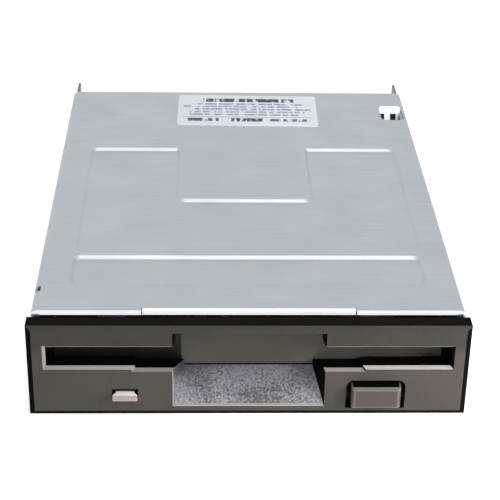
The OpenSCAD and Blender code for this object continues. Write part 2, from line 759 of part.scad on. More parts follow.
// Sheet-metal slider: a bridge over the holder, side flanges with cam slots, and the button's tongue
module eject_slider() {
    color("darkgray") {
        span([-slider_in, slider_front, slider_z], [slider_in, slider_front + slider_bridge, slider_top]);
        both_sides() span([slider_in - 5.6, slider_front + slider_bridge, slider_z],
            [slider_in, slider_back, slider_top]);
        difference() {
            both_sides() span([slider_in, slider_front, slider_low], [slider_out, slider_back, slider_top]);
            both_sides() run_x(slider_in - 1, slider_out + 1) for (y = pin_rows)
                slot_shape([y, pin_z], [y + eject_travel, pin_z - load_drop], pin_r + cam_fit);
        }
        both_sides() difference() {
            span([spring_x - 2, hook_y, spring_z - 1.6], [slider_out, hook_y + slider_t, slider_low + 0.5]);
            translate([spring_x, 0, spring_z]) bar_y(0.7, hook_y - 1, hook_y + slider_t + 1);
        }
        span([slider_in, tongue_front, tongue_z], [slider_out, slider_front, slider_low + 2.5]);
        span([button_x - 4, tongue_front, tongue_z],
            [slider_in, tongue_front + tongue_l, tongue_z + slider_t]);
    }
}

// Two tension springs that draw the slider forward when the lever frees it
module slider_springs() {
    gap = 0.3;
    wire = 0.25;
    turns = 14;
    start = post_y + post_r + gap;
    pitch = (hook_y - gap - start - 2 * wire) / turns;
    color("silver") both_sides() translate([spring_x, start + wire, spring_z]) rotate([-90, 0, 0])
        coil("slider spring", 1.5, pitch, turns, wire);
}

// Sheet-metal cradle that the disk slides into, open at the front and below the spindle and the heads
module disk_holder() {
    color("lightgray") difference() {
        union() {
            run_y(holder_front, holder_back) {
                translate([-holder_out, holder_roof]) square([2 * holder_out, holder_t]);
                both_sides() translate([holder_in, holder_floor - holder_t])
                    square([holder_t, holder_h + 2 * holder_t]);
                both_sides() translate([rail_in, holder_floor - holder_t])
                    square([holder_out - rail_in, holder_t]);
            }
            both_sides() span([arm_slot, holder_back, holder_roof], [arm_slot + 5, prong_back, holder_top]);
        }
        span([-arm_slot, head_y - head_travel - 8, holder_roof - 1],
            [arm_slot, prong_back + 1, holder_top + 1]);
        translate([lever_x, lever_y, holder_roof - 1]) rotate([0, 0, lever_rest - 5])
            rotate_extrude(angle = lever_swing + 10, $fn = 96) translate([lever_l - lever_pin_r - 0.4, 0])
                square([2 * lever_pin_r + 0.8, holder_t + 2]);
        translate([lever_x, lever_y, 0]) bar_z(lever_pivot_r + seat_fit, holder_roof - 1, holder_top + 1);
        both_sides() for (y = pin_rows)
            translate([0, y, pin_z]) bar_x(pin_r + seat_fit, holder_in - 1, holder_out + 1);
        translate([0, spindle_y - 6, holder_roof - 1]) linear_extrude(holder_t + 2)
            slot_shape([-16, 0], [16, 0], 9);
    }
}

// Pins riveted in the holder's sides, which ride in the slider's cam slots and the chassis's upright slots
module holder_pins() {
    color("gainsboro") both_sides() for (y = pin_rows)
        translate([0, y, pin_z]) bar_x(pin_r, holder_in, upper_out - 0.2);
}

// Lever that opens the disk's shutter as the disk is pushed in
module shutter_lever() {
    tip = lever_l * [cos(lever_rest), sin(lever_rest)];
    color("ivory") translate([lever_x, lever_y, 0]) difference() {
        union() {
            translate([0, 0, lever_z]) linear_extrude(lever_t) {
                circle(lever_w / 2 + 0.4);
                translate(tip) circle(lever_w / 2);
                rotate(lever_rest) translate([0, -lever_w / 2 + 0.5]) square([lever_l, lever_w - 1]);
                rotate(lever_rest - 95) translate([0, -1.2]) square([5, 2.4]);
            }
            bar_z(lever_boss_r, lever_z, lever_z + 3);
            translate(concat(tip, [0])) bar_z(lever_pin_r, holder_floor + 1, lever_z + 0.5);
        }
        bar_z(lever_pivot_r + run_fit, lever_z - 1, lever_z + 4);
    }
}

// Rivet that the shutter lever turns on
module lever_pivot() {
    color("gainsboro") translate([lever_x, lever_y, 0]) {
        bar_z(lever_pivot_r, holder_roof, lever_z + 3.1);
        bar_z(lever_pivot_r + 0.9, lever_z + 3.1, lever_z + 3.7);
    }
}

// Torsion spring round the lever's boss
module lever_spring() {
    color("silver") translate([lever_x, lever_y, lever_z + lever_t + 0.4])
        coil("lever spring", lever_boss_r + 0.55, 0.8, 2, 0.18);
}

// Steel-backed board under the spindle motor
motor_half = 30;
motor_front = spindle_y - 29;
motor_back = spindle_y + 24;
motor_holes = [for (x = [-1, 1] * (motor_half - 5), y = [motor_front + 4, motor_back - 4]) [x, y]];
module motor_board() {
    color("darkgreen") difference() {
        translate([-motor_half, motor_front, floor_z]) linear_extrude(motor_t)
            round_rect(2 * motor_half, motor_back - motor_front, 3);
        translate([0, spindle_y, 0]) bar_z(bearing_r + seat_fit, floor_z - 1, motor_top + 1);
        for (p = motor_holes)
            translate([p[0], p[1], 0]) bar_z(screw_shank + seat_fit, floor_z - 1, motor_top + 1);
    }
}

// Screws that hold the motor board to the chassis floor
module motor_screws() {
    color("gainsboro") for (p = motor_holes) translate([p[0], p[1], 0]) {
        bar_z(screw_shank, 0.2, motor_top);
        bar_z(screw_head_r, motor_top, motor_top + 0.8);
    }
}

// Sleeve bearing with a closed foot, set through the board and the chassis floor
module spindle_bearing() {
    color("goldenrod") translate([0, spindle_y, 0]) difference() {
        union() {
            bar_z(bearing_r, 0.2, stator_z);
            bar_z(bearing_r - 1.2, stator_z, rotor_top - 1.8);
        }
        bar_z(shaft_r + run_fit, 0.8, rotor_top);
    }
}

// Spindle shaft, whose tip centres the disk
module spindle_shaft() {
    color("gainsboro") translate([0, spindle_y, 0]) {
        bar_z(shaft_r, 0.8 + run_fit, spindle_tip - 0.5);
        translate([0, 0, spindle_tip - 0.5]) cylinder(r1 = shaft_r, r2 = shaft_r - 0.5, h = 0.5);
    }
}

// Laminated stator: a ring with radial poles that end in shoes
module stator_core() {
    color("slategray") translate([0, spindle_y, stator_z]) linear_extrude(stator_t) difference() {
        union() {
            circle(bearing_r + 3);
            for (i = [0:pole_count - 1]) rotate(360 * i / pole_count) {
                translate([0, -1.3]) square([pole_r - 0.8, 2.6]);
                intersection() {
                    difference() {
                        circle(pole_r);
                        circle(pole_r - 1.4);
                    }
                    translate([0, -3.4]) square([pole_r, 6.8]);
                }
            }
        }
        circle(bearing_r - 1.2 + seat_fit);
    }
}

// Copper winding on each pole
module stator_coils() {
    color("chocolate") translate([0, spindle_y, stator_z - coil_lap]) for (i = [0:pole_count - 1])
        rotate(360 * i / pole_count) difference() {
            translate([bearing_r + 4, -2.2, 0]) cube([pole_r - bearing_r - 6, 4.4, stator_t + 2 * coil_lap]);
            translate([bearing_r + 3, -1.3 - seat_fit, coil_lap - seat_fit])
                cube([pole_r, 2.6 + 2 * seat_fit, stator_t + 2 * seat_fit]);
        }
}

// Rotor cup that turns round the stator
module spindle_rotor() {
    color("lightgray") translate([0, spindle_y, 0]) rotate_extrude() polygon([
        [shaft_r + seat_fit, rotor_top - 1], [rotor_r - rotor_wall, rotor_top - 1],
        [rotor_r - rotor_wall, rotor_low], [rotor_r, rotor_low], [rotor_r, rotor_top - 0.6],
        [rotor_r - 0.6, rotor_top], [shaft_r + seat_fit, rotor_top]]);
}

// Ring magnet inside the rotor cup
module rotor_magnet() {
    color("dimgray") translate([0, spindle_y, 0]) difference() {
        bar_z(magnet_out, rotor_low + 0.2, rotor_top - 1);
        bar_z(magnet_in, rotor_low, rotor_top);
    }
}

// Hub plate that carries the disk's metal centre
drive_r = 10;
module spindle_hub() {
    color("gray") translate([0, spindle_y, 0]) difference() {
        rotate_extrude() polygon([[shaft_r + seat_fit, rotor_top], [hub_r, rotor_top],
            [hub_r, hub_top - 1], [hub_r - 1, hub_top], [shaft_r + seat_fit, hub_top]]);
        translate([drive_r, 0, 0]) bar_z(1.2 + seat_fit, rotor_top - 1, hub_top + 1);
    }
}

// Pin that catches the square hole in the disk's metal centre
module drive_pin() {
    color("gainsboro") translate([drive_r, spindle_y, 0]) bar_z(1.2, rotor_top, hub_top + 1.2);
}

// Two steel rods that the carriage slides on
module guide_rods() {
    color("gainsboro") {
        translate([rod_x, 0, rod_z]) bar_y(rod_r, rod_front, rod_end - 0.4);
        translate([rod2_x, 0, rod_z]) bar_y(rod2_r, rod_front, rod_end - 0.4);
    }
}

// Blocks on the chassis floor that hold the rods' ends
clamp_l = 4.4;
module rod_clamps() {
    color("darkslategray") for (rod = [[rod_x, rod_r], [rod2_x, rod2_r]],
            y = [rod_front + 0.1, rod_end - 0.4 - clamp_l])
        difference() {
            span([rod[0] - 2.8, y, floor_z], [rod[0] + 2.8, y + clamp_l - 0.1, rod_z + rod[1] + 0.5]);
            translate([rod[0], 0, rod_z]) bar_y(rod[1] + seat_fit, rod_front - 1, rod_end + 1);
        }
}

// Plastic carriage: a bush on the main rod, a fork on the second, a nose under the disk and lugs for the arm
module head_carriage() {
    fork = rod2_r + 0.1;
    color("darkslateblue") difference() {
        union() {
            span([-nose_half, nose_front, carriage_top - 1.4], [nose_half, body_front + 1, carriage_top]);
            span([rod_x, body_front, rod_z + 0.8], [rod2_x + 1.6, lug_front, carriage_top]);
            translate([rod_x, 0, rod_z]) bar_y(bush_r, body_front, body_back);
            span([rod2_x - 3.2, body_front + 2, rod_z - 2.2], [rod2_x + 1.6, body_front + 10, carriage_top]);
            span([rod_x, lug_front, rod_z + 0.8], [6, body_back, carriage_top]);
            both_sides() {
                span([arm_half - 1.7, lug_front, carriage_top - 1], [arm_half + 0.6, body_back, pivot_z]);
                translate([0, pivot_y, pivot_z]) bar_x(2, arm_half - 1.7, arm_half + 0.6);
            }
        }
        translate([rod_x, 0, rod_z]) bar_y(rod_r + run_fit, body_front - 1, body_back + 1);
        span([rod2_x - fork, body_front - 1, rod_z - fork], [rod2_x + 5, lug_front + 1, rod_z + fork]);
        translate([0, pivot_y, pivot_z]) bar_x(1 + seat_fit, -arm_half - 1, arm_half + 1);
        span([-4.7, lug_front - 4, carriage_top - 1], [4.7, body_back + 1, carriage_top + 1]);
        translate([0, head_y, 0]) span([-2, -1.5, carriage_top - 0.6], [2, 1.5, carriage_top + 1]);
    }
}

// Needle that the lead screw drives along
module screw_follower() {
    color("gainsboro") translate([0, body_front + 6, screw_z])
        bar_x(0.6, rod2_x + 1.6, screw_x - screw_r - 0.2);
}

// Lower head, set in the carriage's nose
module lower_head() {
    color("saddlebrown") translate([0, head_y, 0]) {
        span([-2, -1.5, carriage_top - 0.6] + seat_fit * [1, 1, 0],
            [2, 1.5, head_z - 0.4] - seat_fit * [1, 1, 0]);
        translate([0, 0, head_z - 0.4]) cylinder(r1 = 1.4, r2 = 1.1, h = 0.4);
    }
}

// Pin that the upper arm swings on
module arm_pin() {
    color("gainsboro") translate([0, pivot_y, pivot_z]) bar_x(1, -arm_half - 0.6, arm_half + 0.6);
}

// Puts what is drawn with the arm level, from its pin, in the lifted place
module lifted() {
    translate([0, pivot_y, pivot_z]) rotate([-arm_lift, 0, 0]) children();
}

// Upper arm with a knuckle on the pin, ears that ride on the holder's prongs, and the upper head's seat
arm_top = 2.7;
arm_t = 1.2;
module head_arm() {
    color("darkslateblue") lifted() difference() {
        union() {
            bar_x(2, -4.4, 4.4);
            span([-4.4, -6, 0], [4.4, 0, arm_top]);
            translate([0, 0, arm_top - arm_t]) linear_extrude(arm_t)
                polygon([[-4.4, 0], [-arm_half, -9], [-arm_half, -ear_reach - 3], [-4, -arm_l - 3],
                    [4, -arm_l - 3], [arm_half, -ear_reach - 3], [arm_half, -9], [4.4, 0]]);
            span([-11, -ear_reach - ear_half, ear_z], [11, -ear_reach + ear_half, ear_z + 1]);
            span([-3, -arm_l - 2.5, 0.75], [3, -arm_l + 2.5, arm_top]);
        }
        bar_x(1 + run_fit, -5, 5);
    }
}

// Flat spring that presses the arm down
module arm_spring() {
    color("silver") lifted() span([-2, -11, arm_top], [2, -0.5, arm_top + 0.3]);
}

// Upper head under the end of the arm
module upper_head() {
    color("saddlebrown") lifted() translate([0, -arm_l, 0]) {
        span([-2, -1.5, -0.45], [2, 1.5, 0.75]);
        translate([0, 0, -0.85]) cylinder(r1 = 1.1, r2 = 1.4, h = 0.4);
    }
}

// Bent bracket that carries the stepper motor and the screw's front bearing
module stepper_bracket() {
    color("silver") difference() {
        union() {
            span([screw_x - 3, screw_front - 2, floor_z], [screw_x + 6, stepper_y, floor_z + 1]);
            span([screw_x - 3, screw_front - 2, floor_z], [screw_x + 3, screw_front - 1, screw_z + 2.4]);
            span([screw_x - 2.4, stepper_y - 1, floor_z], [screw_x + 6, stepper_y, screw_z + 6]);
        }
        translate([screw_x, 0, screw_z]) {
            bar_y(0.8 + run_fit, screw_front - 3, screw_front);
            bar_y(screw_r + 0.3, stepper_y - 2, stepper_y + 1);
        }
    }
}

// Steel can of the stepper motor
module stepper_can() {
    color("gray") translate([screw_x, 0, screw_z]) difference() {
        bar_y(stepper_r, stepper_y, stepper_y + stepper_l);
        bar_y(stepper_r - 0.8, stepper_y + 0.8, stepper_y + stepper_l - 0.8);
        bar_y(screw_r + 0.3, stepper_y - 1, stepper_y + 1);
        bar_y(1 + run_fit, stepper_y + 1, stepper_y + stepper_l + 1);
    }
}

// Two ring windings in the can
module stepper_coils() {
    gap = 0.6;
    wide = (stepper_l - 1.6 - gap) / 2 - 0.1;
    color("chocolate") translate([screw_x, 0, screw_z])
        for (y = [stepper_y + 0.9, stepper_y + 0.9 + wide + gap]) difference() {
            bar_y(stepper_r - 0.8 - seat_fit, y, y + wide);
            bar_y(stepper_r - 2.4, y - 1, y + wide + 1);
        }
}

// Magnet that turns with the lead screw
module stepper_rotor() {
    color("dimgray") translate([screw_x, 0, screw_z]) difference() {
        bar_y(stepper_r - 2.8, stepper_y + 1.4, stepper_y + stepper_l - 1.4);
        bar_y(1 + seat_fit, stepper_y, stepper_y + stepper_l);
    }
}

// Lead screw, with a journal in the front bearing and the motor's shaft at its rear
module lead_screw() {
    color("gainsboro") translate([screw_x, 0, screw_z]) {
        bar_y(0.8, screw_front - 1.9, screw_front - 0.8);
        bar_y(screw_r, screw_front - 0.8, stepper_y + 0.9);
        bar_y(1, stepper_y + 0.9, stepper_y + stepper_l - 0.1);
    }
}

// Main circuit board along the rear, with a bay for the carriage and the motor
module main_board() {
    color("darkgreen") difference() {
        span([-board_half, board_front, board_z], [board_half, board_back, board_top]);
        span([board_bay[0], board_front - 1, board_z - 1], [board_bay[1], carriage_bay, board_top + 1]);
        span([screw_x - stepper_r - 1, board_front - 1, board_z - 1], [board_bay[1], bay_back, board_top + 1]);
        for (b = main_bosses)
            translate([b[0], b[1], 0]) bar_z(screw_shank + seat_fit, board_z - 1, board_top + 1);
    }
}

// Packaged chips on the main board
chip_in = 8;
chip_y = board_front + 5.5;
large_chip = 13;
small_chip = 10;
module board_chips() {
    color("black") {
        translate([-board_half + chip_in, chip_y, board_top]) cube([large_chip, large_chip, 2]);
        translate([board_half - chip_in - small_chip, chip_y, board_top]) cube([small_chip, 6, 1.6]);
    }
}

// Screws that hold the main board and the front board to their bosses
module board_screws() {
    color("gainsboro") {
        for (b = main_bosses) translate([b[0], b[1], 0]) {
            bar_z(screw_shank, floor_z, board_top);
            bar_z(screw_head_r, board_top, board_top + screw_head);
        }
        for (b = front_bosses) translate([b[0], b[1], 0]) {
            bar_z(screw_shank, floor_z, front_top);
            bar_z(screw_head_r, front_top, front_top + screw_head);
        }
    }
}

// Shrouded signal socket, open to the rear, with a polarising notch in its upper wall
module signal_header() {
    w = socket_wall;
    middle = signal_x + signal_w / 2;
    color("black") difference() {
        span([signal_x, socket_back - socket_l, board_top],
            [signal_x + signal_w, socket_back, board_top + socket_h]);
        span([signal_x + w, socket_back - socket_l + 2.4, board_top + w],
            [signal_x + signal_w - w, socket_back + 1, board_top + socket_h - w]);
        span([middle - 2.2, socket_back - socket_l + 2.4, board_top + socket_h - w - 1],
            [middle + 2.2, socket_back + 1, board_top + socket_h + 1]);
    }
}

// Contacts of the signal socket, in two rows
module signal_pins() {
    first = signal_x + signal_w / 2 - (contact_count - 1) / 2 * contact_pitch;
    color("gold") for (i = [0:contact_count - 1], row = [-1, 1])
        translate([first + i * contact_pitch, 0, board_top + socket_h / 2 + row * contact_pitch / 2])
            span([-contact / 2, socket_back - socket_l + 2.4, -contact / 2],
                [contact / 2, socket_back - 1, contact / 2]);
}

// Pale power socket, open to the rear
module power_header() {
    w = socket_wall;
    color("white") difference() {
        span([power_x, socket_back - socket_l, board_top], [power_x + power_w, socket_back, board_top + 7]);
        span([power_x + w, socket_back - socket_l + 2.4, board_top + w],
            [power_x + power_w - w, socket_back + 1, board_top + 8]);
    }
}

// Contacts of the power socket
module power_pins() {
    first = power_x + power_w / 2 - (power_count - 1) / 2 * power_pitch;
    color("gold") for (i = [0:power_count - 1])
        translate([first + i * power_pitch, 0, board_top + 3.6])
            span([-contact / 2, socket_back - socket_l + 2.4, -contact / 2],
                [contact / 2, socket_back - 1, contact / 2]);
}

// Flat flexible cable from the carriage back to the main board
module head_cable() {
    t = 0.3;
    r = (carriage_top - 1 - board_top) / 2;
    turn_y = carriage_bay + 4;
    color("orange") run_x(-10, -2) {
        translate([body_back, carriage_top - 1 - t]) square([turn_y - body_back, t]);
        intersection() {
            translate([turn_y, board_top + r]) difference() {
                circle(r);
                circle(r - t);
            }
            translate([turn_y, board_top]) square([r + 1, 2 * r]);
        }
        translate([turn_y - 3, board_top]) square([3, t]);
    }
}

// Small board at the front that carries the lamp and the switches
module front_board() {
    color("darkgreen") difference() {
        span([front_x[0], front_y[0], front_z], [front_x[1], front_y[1], front_top]);
        for (b = front_bosses)
            translate([b[0], b[1], 0]) bar_z(screw_shank + seat_fit, front_z - 1, front_top + 1);
    }
}

// Rectangular lamp that shows through the bezel, with its two legs
module activity_lamp() {
    lens = y_front - lamp_proud;
    rim = lens + lamp_proud / 3;
    back = bezel_back + 4;
    wide = lamp_w / 2;
    slim = wide - lamp_neck;
    color("mistyrose") translate([-lamp_x, 0, lamp_z]) {
        translate([0, 0, -lamp_h / 2]) linear_extrude(lamp_h) polygon([[-wide, lens], [wide, lens],
            [wide, rim], [slim, y_front], [slim, back], [-slim, back], [-slim, y_front], [-wide, rim]]);
        for (x = [-1.27, 1.27])
            span([x - 0.25, bezel_back + 4, -0.25], [x + 0.25, bezel_back + 7.4, 0.25]);
    }
}

// Block that holds the lamp over the front board
module lamp_holder() {
    color("black") difference() {
        span([-lamp_x - lamp_w / 2 - 1, bezel_back + 3, front_top],
            [-lamp_x + lamp_w / 2 + 1, bezel_back + 7.4, lamp_z + lamp_h / 2 + 0.8]);
        span([lamp_neck - lamp_x - lamp_w / 2, bezel_back + 2, lamp_z - lamp_h / 2] - seat_fit * [1, 0, 1],
            [lamp_w / 2 - lamp_neck - lamp_x, bezel_back + 8, lamp_z + lamp_h / 2] + seat_fit * [1, 0, 1]);
    }
}

// Housings of the two switches that feel for the disk
module media_switches() {
    color("black") for (x = plunger_xs) difference() {
        span([x - 2.3, plunger_y - 3, front_top], [x + 2.3, plunger_y + 3, switch_top]);
        translate([x, plunger_y, 0]) bar_z(plunger_r + run_fit, front_top + 0.6, switch_top + 1);
    }
}

// Plunger of one switch
module plunger(x) {
    color("white") translate([x, plunger_y, 0]) {
        bar_z(plunger_r, front_top + 2, plunger_top - 0.3);
        translate([0, 0, plunger_top - 0.3]) cylinder(r1 = plunger_r, r2 = plunger_r - 0.3, h = 0.3);
    }
}
module protect_plunger() {
    plunger(plunger_xs[0]);
}
module disk_in_plunger() {
    plunger(plunger_xs[1]);
}

chassis();
top_cover();
cover_label();
cover_screws();
front_bezel();
slot_door();
door_spring();
eject_button();
eject_slider();
slider_springs();
disk_holder();
holder_pins();
shutter_lever();
lever_pivot();
lever_spring();
motor_board();
motor_screws();
spindle_bearing();
spindle_shaft();
stator_core();
stator_coils();
spindle_rotor();
rotor_magnet();
spindle_hub();
drive_pin();
guide_rods();
rod_clamps();
head_carriage();
screw_follower();
lower_head();
arm_pin();
head_arm();
arm_spring();
upper_head();
stepper_bracket();
stepper_can();
stepper_coils();
stepper_rotor();
lead_screw();
main_board();
board_chips();
board_screws();
signal_header();
signal_pins();
power_header();
power_pins();
head_cable();
front_board();
activity_lamp();
lamp_holder();
media_switches();
protect_plunger();
disk_in_plunger();
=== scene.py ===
"""Looks of an internal 3.5-inch floppy disk drive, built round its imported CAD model."""

import math

import bmesh
import bpy
import numpy as np
from mathutils import Matrix, Vector
from mathutils.geometry import delaunay_2d_cdt


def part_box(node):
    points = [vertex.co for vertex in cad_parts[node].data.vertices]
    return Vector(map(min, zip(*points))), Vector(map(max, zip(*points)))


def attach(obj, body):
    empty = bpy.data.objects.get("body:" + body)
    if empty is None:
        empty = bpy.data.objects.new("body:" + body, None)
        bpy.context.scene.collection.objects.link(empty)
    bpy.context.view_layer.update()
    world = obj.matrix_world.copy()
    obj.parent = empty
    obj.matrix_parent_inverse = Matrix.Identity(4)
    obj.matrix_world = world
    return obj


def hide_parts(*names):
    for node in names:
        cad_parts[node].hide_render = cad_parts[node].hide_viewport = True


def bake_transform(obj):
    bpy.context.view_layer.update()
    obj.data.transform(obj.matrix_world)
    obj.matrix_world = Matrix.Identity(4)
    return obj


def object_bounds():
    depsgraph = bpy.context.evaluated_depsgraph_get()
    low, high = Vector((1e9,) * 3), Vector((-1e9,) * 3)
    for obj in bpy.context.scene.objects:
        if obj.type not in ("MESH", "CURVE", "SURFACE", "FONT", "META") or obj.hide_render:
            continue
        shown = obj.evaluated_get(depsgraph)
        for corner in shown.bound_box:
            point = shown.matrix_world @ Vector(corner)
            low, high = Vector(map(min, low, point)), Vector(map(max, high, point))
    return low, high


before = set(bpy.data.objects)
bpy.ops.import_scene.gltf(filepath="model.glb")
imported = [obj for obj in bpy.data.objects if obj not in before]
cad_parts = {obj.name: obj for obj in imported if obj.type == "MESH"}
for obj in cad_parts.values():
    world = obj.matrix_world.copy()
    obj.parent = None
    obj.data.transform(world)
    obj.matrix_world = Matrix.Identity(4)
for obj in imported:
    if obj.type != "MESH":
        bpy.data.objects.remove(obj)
cad_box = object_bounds()
MM = 0.001

# Chassis: a tray pressed from zinc-plated steel sheet, its bosses and collars drawn from the same sheet.
# The plating is dull and slightly blue, and the rolling of the sheet leaves long fine streaks in it.


def linear(code):
    """An sRGB hex colour as linear RGBA."""
    parts = [int(code[i:i + 2], 16) / 255 for i in (1, 3, 5)]
    return [c / 12.92 if c <= 0.04045 else ((c + 0.055) / 1.055) ** 2.4 for c in parts] + [1.0]


def add(material, kind, inputs=None, **settings):
    """Adds one shader node; an input is a value or another node's output socket."""
    tree = material.node_tree
    made = tree.nodes.new("ShaderNode" + kind)
    for name, value in settings.items():
        setattr(made, name, value)
    for name, value in (inputs or {}).items():
        if isinstance(value, bpy.types.NodeSocket):
            tree.links.new(value, made.inputs[name])
        else:
            made.inputs[name].default_value = value
    return made


def feed(material, socket, output):
    """Leads a node's output to a socket of a material's shader."""
    material.node_tree.links.new(output, material.node_tree.nodes["Principled BSDF"].inputs[socket])


def surface(name, colour, second, grain, rough, metallic=0.0, relief=0.0, run=(1, 1, 1), contrast=1.0,
            **sockets):
    """A surface of two colours in a noise whose grain is in mm, drawn out by run; contrast sharpens it.
    The noise also varies roughness, between the two values of rough, and lifts it by relief, in mm."""
    material = bpy.data.materials.new(name)
    material.use_nodes = True
    place = add(material, "TexCoord").outputs["Object"]
    scale = [1 / (grain * MM * r) for r in run]
    drawn = add(material, "Mapping", {"Vector": place, "Scale": scale}).outputs["Vector"]
    noise = add(material, "TexNoise", {"Vector": drawn, "Scale": 1.0, "Detail": 3.0}).outputs["Fac"]
    cloud_size = 14 * MM
    cloud = add(material, "TexNoise", {"Vector": place, "Scale": 1 / cloud_size, "Detail": 2.0})
    both = add(material, "Math", {0: noise, 1: cloud.outputs["Fac"]}, operation="ADD").outputs[0]
    spread = 0.3 / contrast
    ends = {"Value": both, "From Min": 1 - spread, "From Max": 1 + spread}
    share = add(material, "MapRange", ends).outputs["Result"]
    mix = add(material, "MixRGB", {"Fac": share, "Color1": linear(colour), "Color2": linear(second)})
    gloss = add(material, "MapRange", {"Value": share, "To Min": rough[0], "To Max": rough[1]})
    feed(material, "Base Color", mix.outputs["Color"])
    feed(material, "Roughness", gloss.outputs["Result"])
    if relief:
        bump = add(material, "Bump", {"Height": noise, "Distance": relief * MM, "Strength": 1.0})
        feed(material, "Normal", bump.outputs["Normal"])
    shader = material.node_tree.nodes["Principled BSDF"]
    shader.inputs["Metallic"].default_value = metallic
    for socket, value in sockets.items():
        shader.inputs[socket.replace("_", " ")].default_value = value
    return material


MERGE = 0.0005 * MM


def dress(material, *names, edge=0.12, worn=None):
    """Gives CAD nodes a material, and rounds their sharp edges by edge, in mm, in worn, which paints
    highlights on them, if given.
    """
    for name in names:
        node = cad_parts[name]
        node.data.materials.clear()
        node.data.materials.append(material)
        if "custom_normal" in node.data.attributes:
            node.data.attributes.remove(node.data.attributes["custom_normal"])
        weld = node.modifiers.new("weld", "WELD")
        weld.merge_threshold = MERGE
        rounding = node.modifiers.new("round edges", "BEVEL")
        rounding.width = edge * MM
        rounding.segments = 2
        rounding.limit_method = "ANGLE"
        rounding.angle_limit = math.radians(35)
        if worn:
            node.data.materials.append(worn)
            rounding.material = 1


# Zinc plating on rolled sheet is a soft grey metal with streaks along the rolling direction. The real
# streaks are under 0.2 mm wide, and are drawn 0.45 mm wide so that they show.
rolled_zinc = surface("zinc_plated_steel_rolled", "#B4B9BF", "#A3A8AE", 0.45, (0.36, 0.5), 1.0,
                      relief=0.004, run=(30, 1, 30))


def recolour(material, share, colour, blend="MIX"):
    """Lays a colour over a material's own, as far as share says."""
    old = material.node_tree.nodes["Principled BSDF"].inputs["Base Color"].links[0].from_socket
    new = add(material, "MixRGB", {"Fac": share, "Color1": old, "Color2": linear(colour)}, blend_type=blend)
    feed(material, "Base Color", new.outputs["Color"])


def tint(material, colour, low, high, place=None, share=1.0):
    """Colours a material anew, as far as share says, in a box given by its corners in mm, or in X and Y
    alone. The box is set out in place, or else in the object's own frame."""
    if place is None:
        place = add(material, "TexCoord").outputs["Object"]
    parts = add(material, "SeparateXYZ", {"Vector": place}).outputs
    for axis, a, b in zip("XYZ", low, high):
        middle, half = (a + b) / 2 * MM, (b - a) / 2 * MM
        near = add(material, "Math", {0: parts[axis], 1: middle, 2: half}, operation="COMPARE")
        share = add(material, "Math", {0: near.outputs[0], 1: share}, operation="MULTIPLY").outputs[0]
    recolour(material, share, colour)


def shade(material, colour, axis, start, end):
    """Multiplies a material by a colour, more and more from a start to an end along an axis, in mm."""
    parts = add(material, "SeparateXYZ", {"Vector": add(material, "TexCoord").outputs["Object"]}).outputs
    share = add(material, "MapRange", {"Value": parts[axis], "From Min": start * MM, "From Max": end * MM})
    recolour(material, share.outputs["Result"], colour, "MULTIPLY")


# The walls' inner faces behind the cover are painted darker as the cover's shade, and the left wall is
# painted near-black under the cover's notch as shade.
cover_y = [corner.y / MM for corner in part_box("top_cover")]
WALL_IN, WALL_OUT, WALL_FOOT, WALL_TOP, WALL_L = 47.5, 49.1, 12, 26, 20
for left, right in ((-WALL_OUT, -WALL_IN), (WALL_IN, WALL_OUT)):
    tint(rolled_zinc, "#6C7074", (left, cover_y[1], WALL_FOOT), (right, cover_y[1] + WALL_L, WALL_TOP))
SPOT_START, SPOT_END, SPOT_FOOT, SPOT_SIDE = 8.6, 12, 20, 2
tint(rolled_zinc, "#08080A", (-WALL_OUT - SPOT_SIDE, cover_y[0] + SPOT_START, SPOT_FOOT),
     (-WALL_IN + SPOT_SIDE, cover_y[0] + SPOT_END, WALL_TOP))
dress(rolled_zinc, "chassis", "stepper_bracket", edge=0.2)

# Spindle motor: a steel-backed circuit board with a sintered bearing, an iron stator wound with copper,
# and a pressed rotor cup with a ferrite ring, on which the hub plate and its drive pin turn the disk.


def circuit_board(name, mask, track, pitch):
    """Solder mask over a net of copper tracks with tinned pads; pitch is the tracks' spacing in mm."""
    pad_pitch, pad_share, track_relief = 2.6 * MM, 0.17, 0.03 * MM
    board = surface(name, mask, track, 0.6, (0.3, 0.42))
    place = add(board, "TexCoord").outputs["Object"]
    tracks = add(board, "TexBrick", {"Vector": place, "Scale": 1 / (pitch * MM), "Mortar Size": 0.1,
                                     "Brick Width": 2.6, "Row Height": 0.9}).outputs["Fac"]
    pads = add(board, "TexVoronoi", {"Vector": place, "Scale": 1 / pad_pitch, "Randomness": 0.55})
    away = pads.outputs["Distance"]
    tinned = add(board, "Math", {0: away, 1: pad_share}, operation="LESS_THAN").outputs[0]
    recolour(board, tracks, track)
    recolour(board, tinned, "#B9BBB8")
    feed(board, "Metallic", tinned)
    relief = add(board, "Bump", {"Height": tracks, "Distance": track_relief, "Strength": 1.0})
    feed(board, "Normal", relief.outputs["Normal"])
    return board


# A wave texture repeats every metre at this scale.
WAVE = 0.314


def wound_wire(name, centre, kind, axis, wire):
    """Enamelled copper wire laid turn by turn; wire is its thickness in mm."""
    copper = surface(name, "#A65A2C", "#8C4520", 0.5, (0.3, 0.45), 1.0)
    place = add(copper, "TexCoord").outputs["Object"]
    about = add(copper, "Mapping", {"Vector": place, "Location": [-c for c in centre]}).outputs["Vector"]
    turns = add(copper, "TexWave", {"Vector": about, "Scale": WAVE / (wire * MM)}, wave_type=kind,
                **{("rings" if kind == "RINGS" else "bands") + "_direction": axis}).outputs["Fac"]
    laid = add(copper, "Bump", {"Height": turns, "Distance": wire / 2 * MM, "Strength": 1.0})
    feed(copper, "Normal", laid.outputs["Normal"])
    return copper


spindle = sum(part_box("spindle_rotor"), Vector()) / 2
# Solder mask is a thin glossy varnish, through which the copper tracks show paler.
motor_mask = circuit_board("brown_solder_mask_printed", "#3B3A22", "#565332", 2.2)
dress(motor_mask, "motor_board", edge=0.08)

